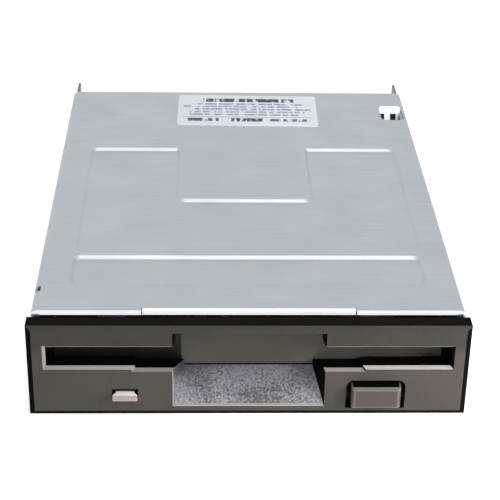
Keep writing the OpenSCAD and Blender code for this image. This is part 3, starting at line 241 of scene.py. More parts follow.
# Sintered bronze is matt and speckled with open pores.
sintered_bronze = surface("bronze_sintered", "#A98A4E", "#7D6334", 0.25, (0.4, 0.6), 1.0, relief=0.01)
dress(sintered_bronze, "spindle_bearing")

# Stacked iron laminations show as thin level lines on every edge.
laminated_iron = surface("silicon_iron_laminated", "#6E7074", "#4A4C50", 0.35, (0.35, 0.5), 1.0,
                         relief=0.02, run=(40, 40, 1))
dress(laminated_iron, "stator_core", edge=0.06)
# Enamelled wire is a dark shiny copper in close even turns.
pole_wire = wound_wire("copper_wire_on_poles", spindle, "RINGS", "Z", 0.3)
dress(pole_wire, "stator_coils", edge=0.3)

# Pressed and nickel-plated steel is bright, with a faint unevenness left by the press tool.
pressed_nickel = surface("nickel_plated_steel_pressed", "#C4C5C6", "#B2B3B5", 0.3, (0.22, 0.34), 1.0,
                         relief=0.003)
dress(pressed_nickel, "spindle_rotor", "stepper_can", edge=0.25)

# Sintered ferrite is a dull charcoal with fine grain.
ferrite = surface("ferrite_sintered", "#3A3B3D", "#2B2C2E", 0.2, (0.6, 0.8), relief=0.01)
dress(ferrite, "rotor_magnet", "stepper_rotor")

# Ground steel shows fine close scratches and bright reflections.
ground_steel = surface("steel_ground", "#C9CACB", "#AFB0B2", 0.18, (0.16, 0.3), 1.0, relief=0.002,
                       run=(1, 12, 1))
dress(ground_steel, "spindle_hub", "spindle_shaft", "drive_pin", edge=0.15)

# Screws: cross-recessed machine screws with flat heads, of bright zinc-plated steel. Those of the motor
# board, the circuit boards and the cover are alike, and each group stands for its CAD node.


def ring_points(radius, count):
    """Points round a circle, anticlockwise."""
    return [Vector((radius * math.cos(a), radius * math.sin(a)))
            for a in (2 * math.pi * i / count for i in range(count))]


def put(name, data):
    """A new object in the scene."""
    made = bpy.data.objects.new(name, data)
    bpy.context.scene.collection.objects.link(made)
    return made


def piece(name, mesh, material, body, slot, *nodes, smooth_under=30):
    """An object of its own that rides on a body and stands for CAD nodes; the slot is not used."""
    mesh.shade_smooth()
    mesh.set_sharp_from_angle(angle=math.radians(smooth_under))
    made = put(name, mesh)
    made.data.materials.append(material)
    if body:
        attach(made, body)
    if nodes:
        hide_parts(*nodes)
    return made


def screw_head(work, place, radius, height, shank, length):
    """A cross-recessed screw in bmesh work: the head's seat at the origin of place, its axis Z."""
    rim, arm, half = 28, 0.62 * radius, 0.15 * radius
    cross, quarter = [], [(arm, -half), (arm, half), (half, half)]
    for _ in range(4):
        cross += [Vector(p) for p in quarter]
        quarter = [(-y, x) for x, y in quarter]
    edge = 0.16 * height
    flat = ring_points(radius - edge, rim)
    loops = [[(i, (i + 1) % rim) for i in range(rim)],
             [(rim + i, rim + (i + 1) % 12) for i in range(12)]]
    points, _, faces, *_ = delaunay_2d_cdt(flat + cross, loops[0] + loops[1], [], 2, 1e-9)

    def level(flat_points, z):
        return [work.verts.new(place @ Vector((p.x, p.y, z))) for p in flat_points]

    top = level(points, height)
    for face in faces:
        work.faces.new([top[i] for i in face])
    shoulder = level(ring_points(radius, rim), height - edge)
    seat = level(ring_points(radius, rim), 0)
    neck = level(ring_points(shank, rim), 0)
    tip = level(ring_points(shank, rim), -length)
    floor = level(cross, 0.35 * height)
    for upper, lower in ((top[:rim], shoulder), (shoulder, seat), (seat, neck), (neck, tip)):
        for i in range(rim):
            work.faces.new((upper[i], lower[i], lower[(i + 1) % rim], upper[(i + 1) % rim]))
    for i in range(12):
        work.faces.new((top[rim + (i + 1) % 12], floor[(i + 1) % 12], floor[i], top[rim + i]))
    work.faces.new(floor)
    work.faces.new(list(reversed(tip)))


def mesh_of(name, work):
    """A mesh from bmesh work, with doubles merged and its faces turned outward."""
    bmesh.ops.remove_doubles(work, verts=work.verts, dist=MERGE)
    bmesh.ops.recalc_face_normals(work, faces=work.faces)
    mesh = bpy.data.meshes.new(name)
    work.to_mesh(mesh)
    work.free()
    return mesh


def islands(node):
    """The boxes of a CAD node's separate solids, as pairs of corners."""
    work = bmesh.new()
    work.from_mesh(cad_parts[node].data)
    bmesh.ops.remove_doubles(work, verts=work.verts, dist=MERGE)
    left, boxes = set(work.verts), []
    while left:
        group, front = set(), [min(left, key=lambda v: v.index)]
        while front:
            vert = front.pop()
            if vert not in group:
                group.add(vert)
                front += [e.other_vert(vert) for e in vert.link_edges]
        left -= group
        places = np.array([v.co for v in group])
        boxes.append((Vector(places.min(0)), Vector(places.max(0))))
    work.free()
    return sorted(boxes, key=lambda b: [round(c, 6) for c in b[0]])


# Bright zinc on turned steel is smooth and cool in colour.
bright_zinc = surface("zinc_plated_steel_turned", "#C6C9CC", "#B0B3B8", 0.3, (0.22, 0.36), 1.0,
                      relief=0.003)
SHANK = 1.2 * MM
for node, head in (("motor_screws", 0.8 * MM), ("board_screws", 1.0 * MM), ("cover_screws", 0.6 * MM)):
    work = bmesh.new()
    on_cover = node == "cover_screws"
    for index, (low, high) in enumerate(islands(node)):
        size, middle = high - low, (low + high) / 2
        # Each screw was tightened to another angle.
        spin = Matrix.Rotation(0.4 + index if on_cover else 0.7 * index, 4, "Z")
        if on_cover:
            side = 1 if middle.x > 0 else -1
            seat = (high.x if side > 0 else -low.x) - head
            place = Matrix.Translation((side * seat, middle.y, middle.z))
            place = place @ Matrix.Rotation(side * math.pi / 2, 4, "Y") @ spin
            radius, length = size.y / 2, size.x - head
        else:
            place = Matrix.Translation((middle.x, middle.y, high.z - head)) @ spin
            radius, length = size.x / 2, size.z - head
        screw_head(work, place, radius, head, SHANK, length)
    crossed = node.replace("_screws", "_cross_screws")
    piece(crossed, mesh_of(node, work), bright_zinc, "drive", "bright_steel", node)

# Guide rods, their clamps and the carriage: ground steel rods in moulded clamps, and a glass-filled
# carriage that slides on them with the lower head in its nose and the upper head on a sprung arm.
dress(ground_steel, "guide_rods", "arm_pin", "screw_follower", edge=0.1)

# Glass-filled nylon is nearly black and shows short pale fibres at its skin.
glass_nylon = surface("nylon_glass_filled_moulded", "#26282C", "#33363B", 0.3, (0.45, 0.62), relief=0.006,
                      run=(1, 3, 1))
dress(glass_nylon, "rod_clamps", "head_carriage", "head_arm", edge=0.15)

# Cold-rolled spring strip is bright and even.
spring_strip = surface("spring_steel_rolled", "#B9BBBE", "#A2A4A8", 0.25, (0.2, 0.3), 1.0, run=(1, 14, 1))
dress(spring_strip, "arm_spring", edge=0.05)

# The heads' ceramic sliders are lapped, and have a waxy brown sheen.
lapped_ceramic = surface("ceramic_lapped", "#6B4A33", "#57402F", 0.4, (0.15, 0.25))
dress(lapped_ceramic, "lower_head", "upper_head", edge=0.1)

# Lead screw: a steel screw with one rolled groove of 3 mm lead, whose plain ends run in the bracket and
# carry the motor's magnet. It turns with the stepper motor and moves the carriage.


def skin(target, rings):
    """Quads between closed rings of vertices, each one and the next."""
    for a, b in zip(rings, rings[1:]):
        for k in range(len(a)):
            target.faces.new((a[k], a[(k + 1) % len(a)], b[(k + 1) % len(a)], b[k]))


screw_low, screw_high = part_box("lead_screw")
screw_axis = (screw_low + screw_high) / 2
SCREW_R, SCREW_LEAD, SCREW_GROOVE = 1.3 * MM, 3 * MM, 0.35 * MM
JOURNAL_R, JOURNAL_L, SHAFT_R, CAN_WALL = 0.8 * MM, 1.1 * MM, 1.0 * MM, 0.9 * MM
GROOVE_SHARE, sides, steps = 0.17, 24, 260
thread_start = screw_low.y + JOURNAL_L
thread_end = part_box("stepper_can")[0].y + CAN_WALL
work = bmesh.new()
profile = [(screw_low.y, 0.0), (screw_low.y, JOURNAL_R), (thread_start, JOURNAL_R)]
profile += [(thread_start + (thread_end - thread_start) * i / steps, None) for i in range(steps + 1)]
profile += [(thread_end, SHAFT_R), (screw_high.y, SHAFT_R), (screw_high.y, 0.0)]
rows = []
for y, radius in profile:
    row = []
    for k in range(sides):
        angle = 2 * math.pi * k / sides
        r = radius
        if r is None:
            phase = ((y - thread_start) / SCREW_LEAD - k / sides) % 1
            away = abs(phase - 0.5) / GROOVE_SHARE
            fade = min(1, (y - thread_start) / MM, (thread_end - y) / MM)
            r = SCREW_R - SCREW_GROOVE * max(0, 1 - away ** 2) * fade
        spot = Vector((r * math.cos(angle), 0, r * math.sin(angle)))
        row.append(work.verts.new(Vector((screw_axis.x, y, screw_axis.z)) + spot))
    rows.append(row)
skin(work, rows)
bmesh.ops.dissolve_degenerate(work, dist=MERGE, edges=work.edges)
piece("lead_screw_grooved", mesh_of("lead_screw", work), ground_steel, "screw", "bright_steel",
      "lead_screw", smooth_under=40)
ring_wire = wound_wire("copper_wire_on_rings", spindle, "BANDS", "Y", 0.3)
dress(ring_wire, "stepper_coils", edge=0.2)

# Main board and its sockets: a two-sided circuit board screwed to the chassis, with packaged chips,
# small soldered parts, a black shrouded signal socket and a pale power socket with gilt contacts.
green_mask = circuit_board("green_solder_mask_printed", "#1D4230", "#2C5A3F", 1.5)
dress(green_mask, "main_board", "front_board", edge=0.06)

# Moulded epoxy is a dead black with a fine sandy grain.
moulded_epoxy = surface("epoxy_moulded", "#1B1B1C", "#262627", 0.15, (0.5, 0.65), relief=0.008)
dress(moulded_epoxy, "board_chips", edge=0.2)

# Glass-filled polyester is black with a light gloss.
black_polyester = surface("polyester_moulded_black", "#1A1A1B", "#232324", 0.35, (0.32, 0.45), relief=0.004)
dress(black_polyester, "signal_header", "lamp_holder", "media_switches", edge=0.15)

# Natural nylon is milky and slightly yellow.
milky_nylon = surface("nylon_moulded_natural", "#E6E2D4", "#D9D4C4", 0.8, (0.35, 0.5), relief=0.004)
dress(milky_nylon, "power_header", "protect_plunger", "disk_in_plunger", edge=0.15)

# Gilt contacts are smooth drawn wire with a thin gold wash.
gilt_wire = surface("brass_wire_gilt", "#D9B866", "#C7A24C", 0.3, (0.18, 0.28), 1.0, run=(1, 10, 1))
dress(gilt_wire, "signal_pins", "power_pins", edge=0.1)

board_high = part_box("main_board")[1]
work = bmesh.new()
ends = bmesh.new()
PART_L, PART_W, PART_H, TIN = 2.0 * MM, 1.2 * MM, 0.6 * MM, 0.03 * MM


def block(target, low, high):
    """A closed block between two corners."""
    made = bmesh.ops.create_cube(target, size=1)["verts"]
    size, middle = Vector(high) - Vector(low), (Vector(low) + Vector(high)) / 2
    for vert in made:
        vert.co = Vector(c * s for c, s in zip(vert.co, size)) + middle


chips = islands("board_chips")
# Rows of small parts: the first one's place, their count and their spacing.
CLOSE, WIDE = 3.2 * MM, 3.4 * MM
part_rows = [(chips[0][0].x, chips[0][0].y - 2.4 * MM, 4, CLOSE),
             (chips[1][0].x, chips[1][1].y + 3.0 * MM, 3, CLOSE),
             (11 * MM, board_high.y - 3.4 * MM, 4, WIDE), (39.5 * MM, board_high.y - 4.4 * MM, 2, CLOSE)]
cap = 0.22 * PART_L
for first, y, count, pitch in part_rows:
    for x in (first + i * pitch for i in range(count)):
        low = Vector((x - PART_L / 2, y - PART_W / 2, board_high.z))
        block(work, low + Vector((cap, 0, 0)), low + Vector((PART_L - cap, PART_W, PART_H)))
        for start in (0, PART_L - cap):
            corner = low + Vector((start, -TIN, 0))
            block(ends, corner, corner + Vector((cap, PART_W + 2 * TIN, PART_H + TIN)))
LEG_PITCH, LEG_W, LEG_T = 1.27 * MM, 0.4 * MM, 0.2 * MM
SHIN, SHOULDER, TOE = 0.4 * MM, 0.6 * MM, 1.2 * MM
for low, high in chips:
    count = int((high.x - low.x - MM) / LEG_PITCH)
    first = (low.x + high.x - (count - 1) * LEG_PITCH) / 2
    knee = (low.z + high.z) / 2
    # A leg's three stretches: out of the chip, down, and out on to its pad.
    leg = ((0, SHOULDER, knee - LEG_T / 2, knee + LEG_T / 2), (SHIN, SHOULDER, board_high.z, knee),
           (SHIN, TOE, board_high.z, board_high.z + LEG_T))
    for side, y in ((-1, low.y), (1, high.y)):
        for x in (first + i * LEG_PITCH for i in range(count)):
            for start, end, z_low, z_high in leg:
                reach = sorted((y + side * start, y + side * end))
                block(ends, (x - LEG_W / 2, reach[0], z_low), (x + LEG_W / 2, reach[1], z_high))
# Resistor ceramic has a glassy dark coat.
glazed_resistor = surface("ceramic_glazed_dark", "#22252B", "#2F333A", 0.3, (0.2, 0.32))
# Tinned copper is a soft bright grey.
tinned_copper = surface("copper_tinned", "#BFC0BE", "#A9AAA8", 0.25, (0.25, 0.4), 1.0, relief=0.004)
for name, made, material, slot in (("board_small_parts", work, glazed_resistor, "inner_plastic"),
                                   ("board_soldered_ends", ends, tinned_copper, "bright_steel")):
    mesh = bpy.data.meshes.new(name)
    made.to_mesh(mesh)
    made.free()
    piece(name, mesh, material, "drive", slot)

# Head cable: a flat polyimide film with copper tracks that loops from the carriage back to the main
# board, clamped at both ends. It rolls as the carriage steps, so it bends between the two.
cable_low, cable_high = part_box("head_cable")
FILM = 0.16 * MM
# Polyimide is a glossy clear amber, through which the copper tracks show darker.
film = surface("polyimide_film", "#B5702A", "#A8641F", 1.2, (0.2, 0.3))
TRACK_PITCH, LANDING = 0.8 * MM, 3 * MM
place = add(film, "TexCoord").outputs["Object"]
tracks = add(film, "TexWave", {"Vector": place, "Scale": WAVE / TRACK_PITCH}, bands_direction="X")
recolour(film, tracks.outputs["Fac"], "#8A4A1C")
loop_r = (cable_high.z - cable_low.z) / 2 - FILM
turn_y = cable_high.y - loop_r - FILM
upper_z, lower_z = cable_high.z - FILM, cable_low.z + FILM
run_up = [(cable_low.y + (turn_y - cable_low.y) * i / 24, upper_z) for i in range(24)]
bend = [(turn_y + loop_r * math.sin(a), lower_z + loop_r + loop_r * math.cos(a))
        for a in (math.pi * i / 24 for i in range(25))]
landing = [(turn_y - LANDING * i / 6, lower_z) for i in range(1, 7)]
path = run_up + bend + landing
work = bmesh.new()
across = [cable_low.x + (cable_high.x - cable_low.x) * i / 8 for i in range(9)]
grid = []
for i, (y, z) in enumerate(path):
    before, after = path[max(i - 1, 0)], path[min(i + 1, len(path) - 1)]
    along = Vector((0, after[0] - before[0], after[1] - before[1])).normalized()
    out = Vector((0, -along.z, along.y)) * FILM / 2
    grid.append([work.verts.new(Vector((x, y, z)) + out) for x in across]
                + [work.verts.new(Vector((x, y, z)) - out) for x in reversed(across)])
skin(work, grid)
work.faces.new(grid[0])
work.faces.new(list(reversed(grid[-1])))
cable = piece("head_cable_film", mesh_of("head_cable", work), film, None, "film_cable", "head_cable")
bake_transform(cable)

# Lamp: a rectangular light-emitting diode cast in pale diffusing epoxy, set in its holder on the front
# board so that the lens stands out of the bezel.
clear_epoxy = surface("epoxy_cast_smooth", "#F7F1EE", "#EBE3E0", 0.5, (0.16, 0.26), relief=0.002)
# The lens's face is frosted, and is painted a pinkish grey darker than its top as shade; its root is
# painted black as the shade inside the bezel's hole.
frosted_epoxy = surface("epoxy_cast_frosted_painted_shade", "#A59A9C", "#968B8D", 0.3, (0.4, 0.55), relief=0.01)
dress(clear_epoxy, "activity_lamp", edge=0.12)
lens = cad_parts["activity_lamp"]
lens.data.materials.append(frosted_epoxy)
lens_low, lens_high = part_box("activity_lamp")
for face in lens.data.polygons:
    face.material_index = 1 if face.normal.y < -0.9 else 0
LENS_CLEAR, LENS_L, LENS_H = 2.0, 20.0, 10.0
tint(clear_epoxy, "#0B0A0A", (lens_low.x / MM - 1, lens_low.y / MM + LENS_CLEAR, 0),
     (lens_high.x / MM + 1, lens_low.y / MM + LENS_L, LENS_H))

# Disk holder and its lever: a cradle bent from steel sheet that rises and drops on four riveted pins,
# with a moulded lever on its roof that opens the disk's shutter and a wound spring that returns it.


def tube(name, points, radius, sides=10):
    """A closed round tube along points, with flat ends."""
    work = bmesh.new()
    points = [Vector(p) for p in points]
    along = [(points[min(i + 1, len(points) - 1)] - points[max(i - 1, 0)]).normalized()
             for i in range(len(points))]
    out = along[0].orthogonal().normalized()
    rings = []
    for point, way in zip(points, along):
        out = (out - way * out.dot(way)).normalized()
        side = way.cross(out)
        rings.append([work.verts.new(point + radius * (math.cos(a) * out + math.sin(a) * side))
                      for a in (2 * math.pi * k / sides for k in range(sides))])
    skin(work, rings)
    work.faces.new(list(reversed(rings[0])))
    work.faces.new(rings[-1])
    return mesh_of(name, work)


def helix(start, axis, radius, pitch, turns, per_turn=32):
    """Points of a coil about an axis that starts at a point on that axis."""
    axis = Vector(axis).normalized()
    across = axis.orthogonal().normalized()
    other = axis.cross(across)
    return [Vector(start) + axis * pitch * i / per_turn
            + radius * (math.cos(a) * across + math.sin(a) * other)
            for i, a in ((i, 2 * math.pi * i / per_turn) for i in range(int(turns * per_turn) + 1))]


# Pickled sheet is an even dull grey with faint streaks.
pickled_sheet = surface("steel_sheet_pickled", "#9EA1A4", "#8B8E91", 0.5, (0.4, 0.52), 1.0, relief=0.004,
                        run=(1, 24, 1))
dress(pickled_sheet, "disk_holder", edge=0.1)
dress(bright_zinc, "holder_pins", "lever_pivot", edge=0.15)
# Acetal is an even ivory with a waxy gloss.
ivory_acetal = surface("acetal_moulded_ivory", "#DDD6C0", "#D0C8B0", 0.6, (0.28, 0.4), relief=0.003)
dress(ivory_acetal, "shutter_lever", edge=0.15)

# Drawn spring wire is bright, with a fine uneven sheen.
drawn_wire = surface("spring_wire_drawn", "#BBBDC0", "#9FA1A5", 0.2, (0.2, 0.32), 1.0)
coil_low, coil_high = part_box("lever_spring")
LEVER_WIRE, LEVER_R, LEVER_PITCH, LEVER_TURNS = 0.18 * MM, 3.15 * MM, 0.8 * MM, 1.9
lever_axis = sum(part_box("lever_pivot"), Vector()) / 2
lever_foot = (lever_axis.x, lever_axis.y, coil_low.z + LEVER_WIRE)
turns = helix(lever_foot, (0, 0, 1), LEVER_R, LEVER_PITCH, LEVER_TURNS)
piece("lever_spring_wound", tube("lever_spring", turns, LEVER_WIRE), drawn_wire, "holder", "bright_steel",
      "lever_spring")

# Eject slider: a plate bent from steel sheet whose cam slots lower the holder as it comes forward, drawn
# by two tension springs hooked between it and posts of the chassis, with the button on its tongue.
dress(pickled_sheet, "eject_slider", edge=0.12)
spring_low, spring_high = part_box("slider_springs")
SPRING_R, SPRING_WIRE, SPRING_TURNS = 1.5 * MM, 0.25 * MM, 14
for side, word in ((-1, "left"), (1, "right")):
    x = side * ((spring_high.x - spring_low.x) / 2 - SPRING_R - SPRING_WIRE)
    z = (spring_low.z + spring_high.z) / 2
    ends_y = (spring_low.y + SPRING_WIRE, spring_high.y - SPRING_WIRE)
    pitch = (ends_y[1] - ends_y[0]) / SPRING_TURNS
    turns = helix((x, ends_y[0], z), (0, 1, 0), SPRING_R, pitch, SPRING_TURNS)
    nodes = ("slider_springs",) if side < 0 else ()
    spring = piece("slider_spring_" + word, tube("slider_spring", turns, SPRING_WIRE), drawn_wire, None,
                   "bright_steel", *nodes)
    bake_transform(spring)

# Bezel, button and slot door: injection-moulded ABS in near-black warm grey. The tool was spark-eroded for
# the front, which is matt and grainy; its sides and the faces that look up or hide in the slot are smooth,
# and are painted near-black as shade.

# Spark erosion leaves a close grain of rounded pits that breaks up the light. The real pits are about
# 0.1 mm across, and are drawn 0.3 mm across so that they show.
eroded_abs = surface("abs_moulded_spark_eroded", "#4B4743", "#423F3B", 0.3, (0.4, 0.55), relief=0.03,
                     Specular_IOR_Level=0.2)
# Smooth ABS from a drawn-out face of the tool is even, and is painted near-black as shade.
smooth_abs = surface("abs_moulded_smooth_painted_shade", "#070606", "#0B0A0A", 0.8, (0.5, 0.6), relief=0.002,
                     Specular_IOR_Level=0.02)
# The scoop's floor was eroded with a coarser spark, which gives the finger a grip and a pale sparkle.
coarse_abs = surface("abs_moulded_coarse_eroded", "#474649", "#929197", 0.5, (0.35, 0.5), relief=0.1,
                     contrast=2.0)
# The scoop's floor is painted darker towards its top as shade under the slot, and its front edge is painted
# pale as a highlight.
bezel_low, bezel_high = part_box("front_bezel")
SCOOP_FOOT, SCOOP_TOP, SCOOP_SIDE, RUBBED_RIM = 3.5, 11, 20, 0.3
face_y = bezel_low.y / MM
shade(coarse_abs, "#989899", "Z", SCOOP_FOOT, SCOOP_TOP)
tint(coarse_abs, "#8E8C89", (-SCOOP_SIDE, face_y - 1, 1), (SCOOP_SIDE, face_y + RUBBED_RIM, SCOOP_TOP + 2))
# Above the slot the front is painted a little darker, as shade.
DARK_START, DARK_END = 16, 19
shade(eroded_abs, "#CECCCA", "Z", DARK_START, DARK_END)
# The chamfered mouth of the slot is smoother, and is painted pale as a highlight.
rubbed_abs = surface("abs_moulded_painted_highlight", "#918C87", "#7D7873", 0.4, (0.22, 0.36), run=(8, 1, 1))
# The button's rounded edges, and the lower edge of the mouth's dip, are painted a little pale and shiny as
# highlights.
worn_abs = surface("abs_moulded_painted_edge_highlight", "#6B6762", "#5E5A55", 0.3, (0.3, 0.42), relief=0.01)
dress(eroded_abs, "front_bezel", edge=0.14)
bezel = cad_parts["front_bezel"]
for other in (smooth_abs, coarse_abs, rubbed_abs, worn_abs):
    bezel.data.materials.append(other)
SLOT_LOW, SLOT_HIGH, SLOT_DIP, SCOOP_HALF = 13.25 * MM, 18.25 * MM, 0.6 * MM, 18 * MM
CHAMFER, DIP_HALF = 0.8 * MM, 26.2 * MM
GRAINED, SMOOTH, COARSE_GRAINED, RUBBED, WORN = range(5)


def bezel_finish(spot, way):
    """Which of the bezel's finishes, some of them painted light and shade, a face at a spot has, with its
    normal.
    """
    beside = abs(spot.x) > SCOOP_HALF and SLOT_LOW - SLOT_DIP - CHAMFER < spot.z < SLOT_HIGH + CHAMFER
    # The mouth's chamfers are painted pale as highlights, less so on the dip's lower edge, and those facing
    # left near-black as shade.
    if beside and -0.85 < way.y < -0.5:
        return SMOOTH if way.x < -0.5 else WORN if abs(spot.x) < DIP_HALF and way.z > 0 else RUBBED
    # The scoop's left wall takes the floor's paler finish as painted light, and its right wall is painted
    # near-black as shade.
    if abs(spot.x) < SCOOP_HALF + MM and spot.z < SLOT_LOW and abs(way.x) > 0.5:
        return COARSE_GRAINED if way.x > 0 else SMOOTH
    if 0.3 < way.z < 0.6 and way.y < -0.8 and spot.z < SLOT_LOW:
        return COARSE_GRAINED
    # The outer sides, the bottom bevel, the faces hidden behind the front and those that look up are
    # painted near-black as shade.
    outer = abs(spot.x) > bezel_high.x - MM and abs(way.x) > 0.2 or spot.z < MM and way.z < -0.2
    hidden = spot.y > bezel_low.y + MM and way.y > -0.3
    return SMOOTH if outer or hidden or way.z > 0.85 else GRAINED


for face in bezel.data.polygons:
    face.material_index = bezel_finish(face.center, face.normal)

# The button is a moulding of its own, a little paler and warmer than the bezel.
button_abs = surface("abs_moulded_button", "#544D4A", "#4B4542", 0.3, (0.4, 0.55), relief=0.03,
                     Specular_IOR_Level=0.2)
# Its rounded edges are painted pale as highlights, and its top near-black as shade.
dress(button_abs, "eject_button", edge=0.3, worn=worn_abs)
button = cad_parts["eject_button"]
button.data.materials.append(smooth_abs)
for face in button.data.polygons:
    face.material_index = 2 if face.normal.z > 0.85 else 0

# The flap is moulded in the same ABS. Its left wing is painted black as the slot's shade.
flap_abs = surface("abs_moulded_flap", "#474440", "#3E3B37", 0.3, (0.4, 0.55), relief=0.02,
                   Specular_IOR_Level=0.2)
WING_START, WING_END = -60, -15.6
tint(flap_abs, "#0B0A0A", (WING_START, face_y - 10, 0), (WING_END, face_y + 30, 30))
dress(flap_abs, "slot_door", edge=0.12)
coil_low, coil_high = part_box("door_spring")
DOOR_R, DOOR_WIRE, DOOR_TURNS = 1.0 * MM, 0.18 * MM, 5
hinge = Vector((coil_low.x + DOOR_WIRE, (coil_low.y + coil_high.y) / 2, (coil_low.z + coil_high.z) / 2))
pitch = (coil_high.x - coil_low.x - 2 * DOOR_WIRE) / DOOR_TURNS
turns = helix(hinge, (1, 0, 0), DOOR_R, pitch, DOOR_TURNS)
piece("door_spring_wound", tube("door_spring", turns, DOOR_WIRE), drawn_wire, "drive", "bright_steel",
      "door_spring")

# Top cover: zinc-plated sheet 0.8 mm thick with two panels sunk by a press to stiffen it, folded down over
# the chassis at both sides and bent to a lip at the front. A lug is bent down from a window at the rear.
cover_low, cover_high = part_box("top_cover")
SHEET, FOLD_R, LIP_R, LIP_H = 0.8 * MM, 1.5 * MM, 0.8 * MM, 1.25 * MM
LIP_TURN, SHEAR, BURR = math.radians(69), 0.36 * MM, 0.2 * MM
SUNK, SLOPE, CORNER, DOME_CORNER = 0.7 * MM, 1.2 * MM, 2.4 * MM, 2.0 * MM
STEP_HALF, STEP_BACK, SLIT = 24.6 * MM, 0.7 * MM, 0.1 * MM
half_w, top = cover_high.x, cover_high.z
front, rear = cover_low.y, cover_high.y
flat_half = half_w - FOLD_R
panel_x = (-half_w + 7.8 * MM, half_w - 6.4 * MM)
panel_y = (front + 30.2 * MM, front + 89.6 * MM)
dome_x, dome_front = (-16.8 * MM, 17.6 * MM), front + 57.6 * MM
strip_x = (-half_w + 7.6 * MM, half_w - 7.3 * MM)
strip_y = (front + 8.2 * MM, front + 26.7 * MM)
STRIP_RAMP = 6 * MM


def rounded_inside(a, b, radius):
    """Depth inside two edges that meet in a round corner, from the depth inside each."""
    u, v = np.maximum(radius - a, 0), np.maximum(radius - b, 0)
    return np.where((a >= radius) & (b >= radius), np.minimum(a, b), radius - np.hypot(u, v))


def pressed(depth):
    """How far the sheet is pressed down, from 0 to 1, at a depth inside a panel's outline."""
    t, bend = np.clip(depth / SLOPE, 0, 1), 0.3
    low, high = t * t / (2 * bend), 1 - bend - (1 - t) ** 2 / (2 * bend)
    return np.where(t < bend, low, np.where(t > 1 - bend, high, t - bend / 2)) / (1 - bend)


def sunk(x, y):
    """How far the cover's face lies under its plain level."""
    across = np.minimum(x - panel_x[0], panel_x[1] - x)
    along = np.minimum(y - panel_y[0], panel_y[1] - y)
    side, ahead = np.maximum(dome_x[0] - x, x - dome_x[1]), dome_front - y
    u, v = side + DOME_CORNER, ahead + DOME_CORNER
    round_dome = np.where((u > 0) & (v > 0), np.hypot(u, v) - DOME_CORNER, np.maximum(side, ahead))
    panel = rounded_inside(rounded_inside(across, along, CORNER), round_dome, CORNER / 2)
    flat_start = strip_y[0] + STRIP_RAMP
    eased = np.where(y > flat_start, y, flat_start - (flat_start - y) * SLOPE / STRIP_RAMP)
    across = np.minimum(x - strip_x[0], strip_x[1] - x)
    along = np.minimum(eased - flat_start + SLOPE, strip_y[1] - eased)
    strip = rounded_inside(across, along, CORNER)
    return SUNK * np.maximum(pressed(panel), pressed(strip))


def spaced(stops, fine, coarse):
    """Places from the first stop to the last; stretches marked True are fine, the others coarse."""
    places = []
    for (a, close), (b, _) in zip(stops, stops[1:]):
        count = max(1, math.ceil((b - a) / (fine if close else coarse) - 1e-6))
        places += [a + (b - a) * i / count for i in range(count)]
    return places + [stops[-1][0]]


# The mesh is fine where the sheet bends or is slit, and coarse between.
FINE, COARSE = 0.2 * MM, 3 * MM
xs = spaced([(-flat_half, False), (-44 * MM, True), (-38 * MM, False), (-STEP_HALF - SLIT, True),
             (-STEP_HALF + SLIT, False), (-20.5 * MM, True), (-14.5 * MM, False), (15.5 * MM, True),
             (21.5 * MM, False), (STEP_HALF - SLIT, True), (STEP_HALF + SLIT, False), (39 * MM, True),
             (45 * MM, False), (flat_half, False)], FINE, COARSE)
ARC = 8
fold = [flat_half + FOLD_R * math.pi / 2 * i / ARC for i in range(1, ARC + 1)]
flange = [fold[-1] + (top - FOLD_R - cover_low.z) * i / 6 for i in range(1, 7)]
spread = [-s for s in reversed(fold + flange)] + xs + fold + flange
bend_mid, sheared = front + STEP_BACK + LIP_R, front + SHEAR
ys = spaced([(bend_mid, False), (strip_y[0] - MM, True), (strip_y[0] + 8 * MM, False),
             (strip_y[1] - 3.6 * MM, True), (strip_y[1] + 0.4 * MM, False), (panel_y[0] - 0.4 * MM, True),
             (panel_y[0] + 3.6 * MM, False), (dome_front - 3.6 * MM, True), (dome_front + 2 * MM, False),
             (panel_y[1] - 3.6 * MM, True), (panel_y[1] + 0.4 * MM, False), (rear, False)], FINE, COARSE)


def folded(s, y):
    """The place on the cover's outer face at s across the flat blank and y along it."""
    a, side = abs(s), math.copysign(1, s)
    arc_end = flat_half + FOLD_R * math.pi / 2
    if a <= flat_half:
        return Vector((s, y, top - float(sunk(np.float64(s), np.float64(y)))))
    if a <= arc_end:
        t = (a - flat_half) / FOLD_R
        return Vector((side * (flat_half + FOLD_R * math.sin(t)), y, top - FOLD_R * (1 - math.cos(t))))
    return Vector((side * half_w, y, top - FOLD_R - (a - arc_end)))


def patch(target, columns, rows_y, place):
    """A sheet of quads over columns and rows, each corner put in place by a function."""
    verts = [[target.verts.new(place(c, r)) for c in columns] for r in rows_y]
    for a, b in zip(verts, verts[1:]):
        for k in range(len(a) - 1):
            target.faces.new((a[k], a[k + 1], b[k + 1], b[k]))


def lip(x, run):
    """The place on the lip bent down at the front, at x and a distance past the start of its bend."""
    t = min(run / LIP_R, LIP_TURN)
    straight = max(0, run - LIP_R * LIP_TURN)
    ahead = LIP_R * math.sin(t) + straight * math.cos(LIP_TURN)
    down = LIP_R * (1 - math.cos(t)) + straight * math.sin(LIP_TURN)
    return Vector((x, bend_mid - ahead, top - down))


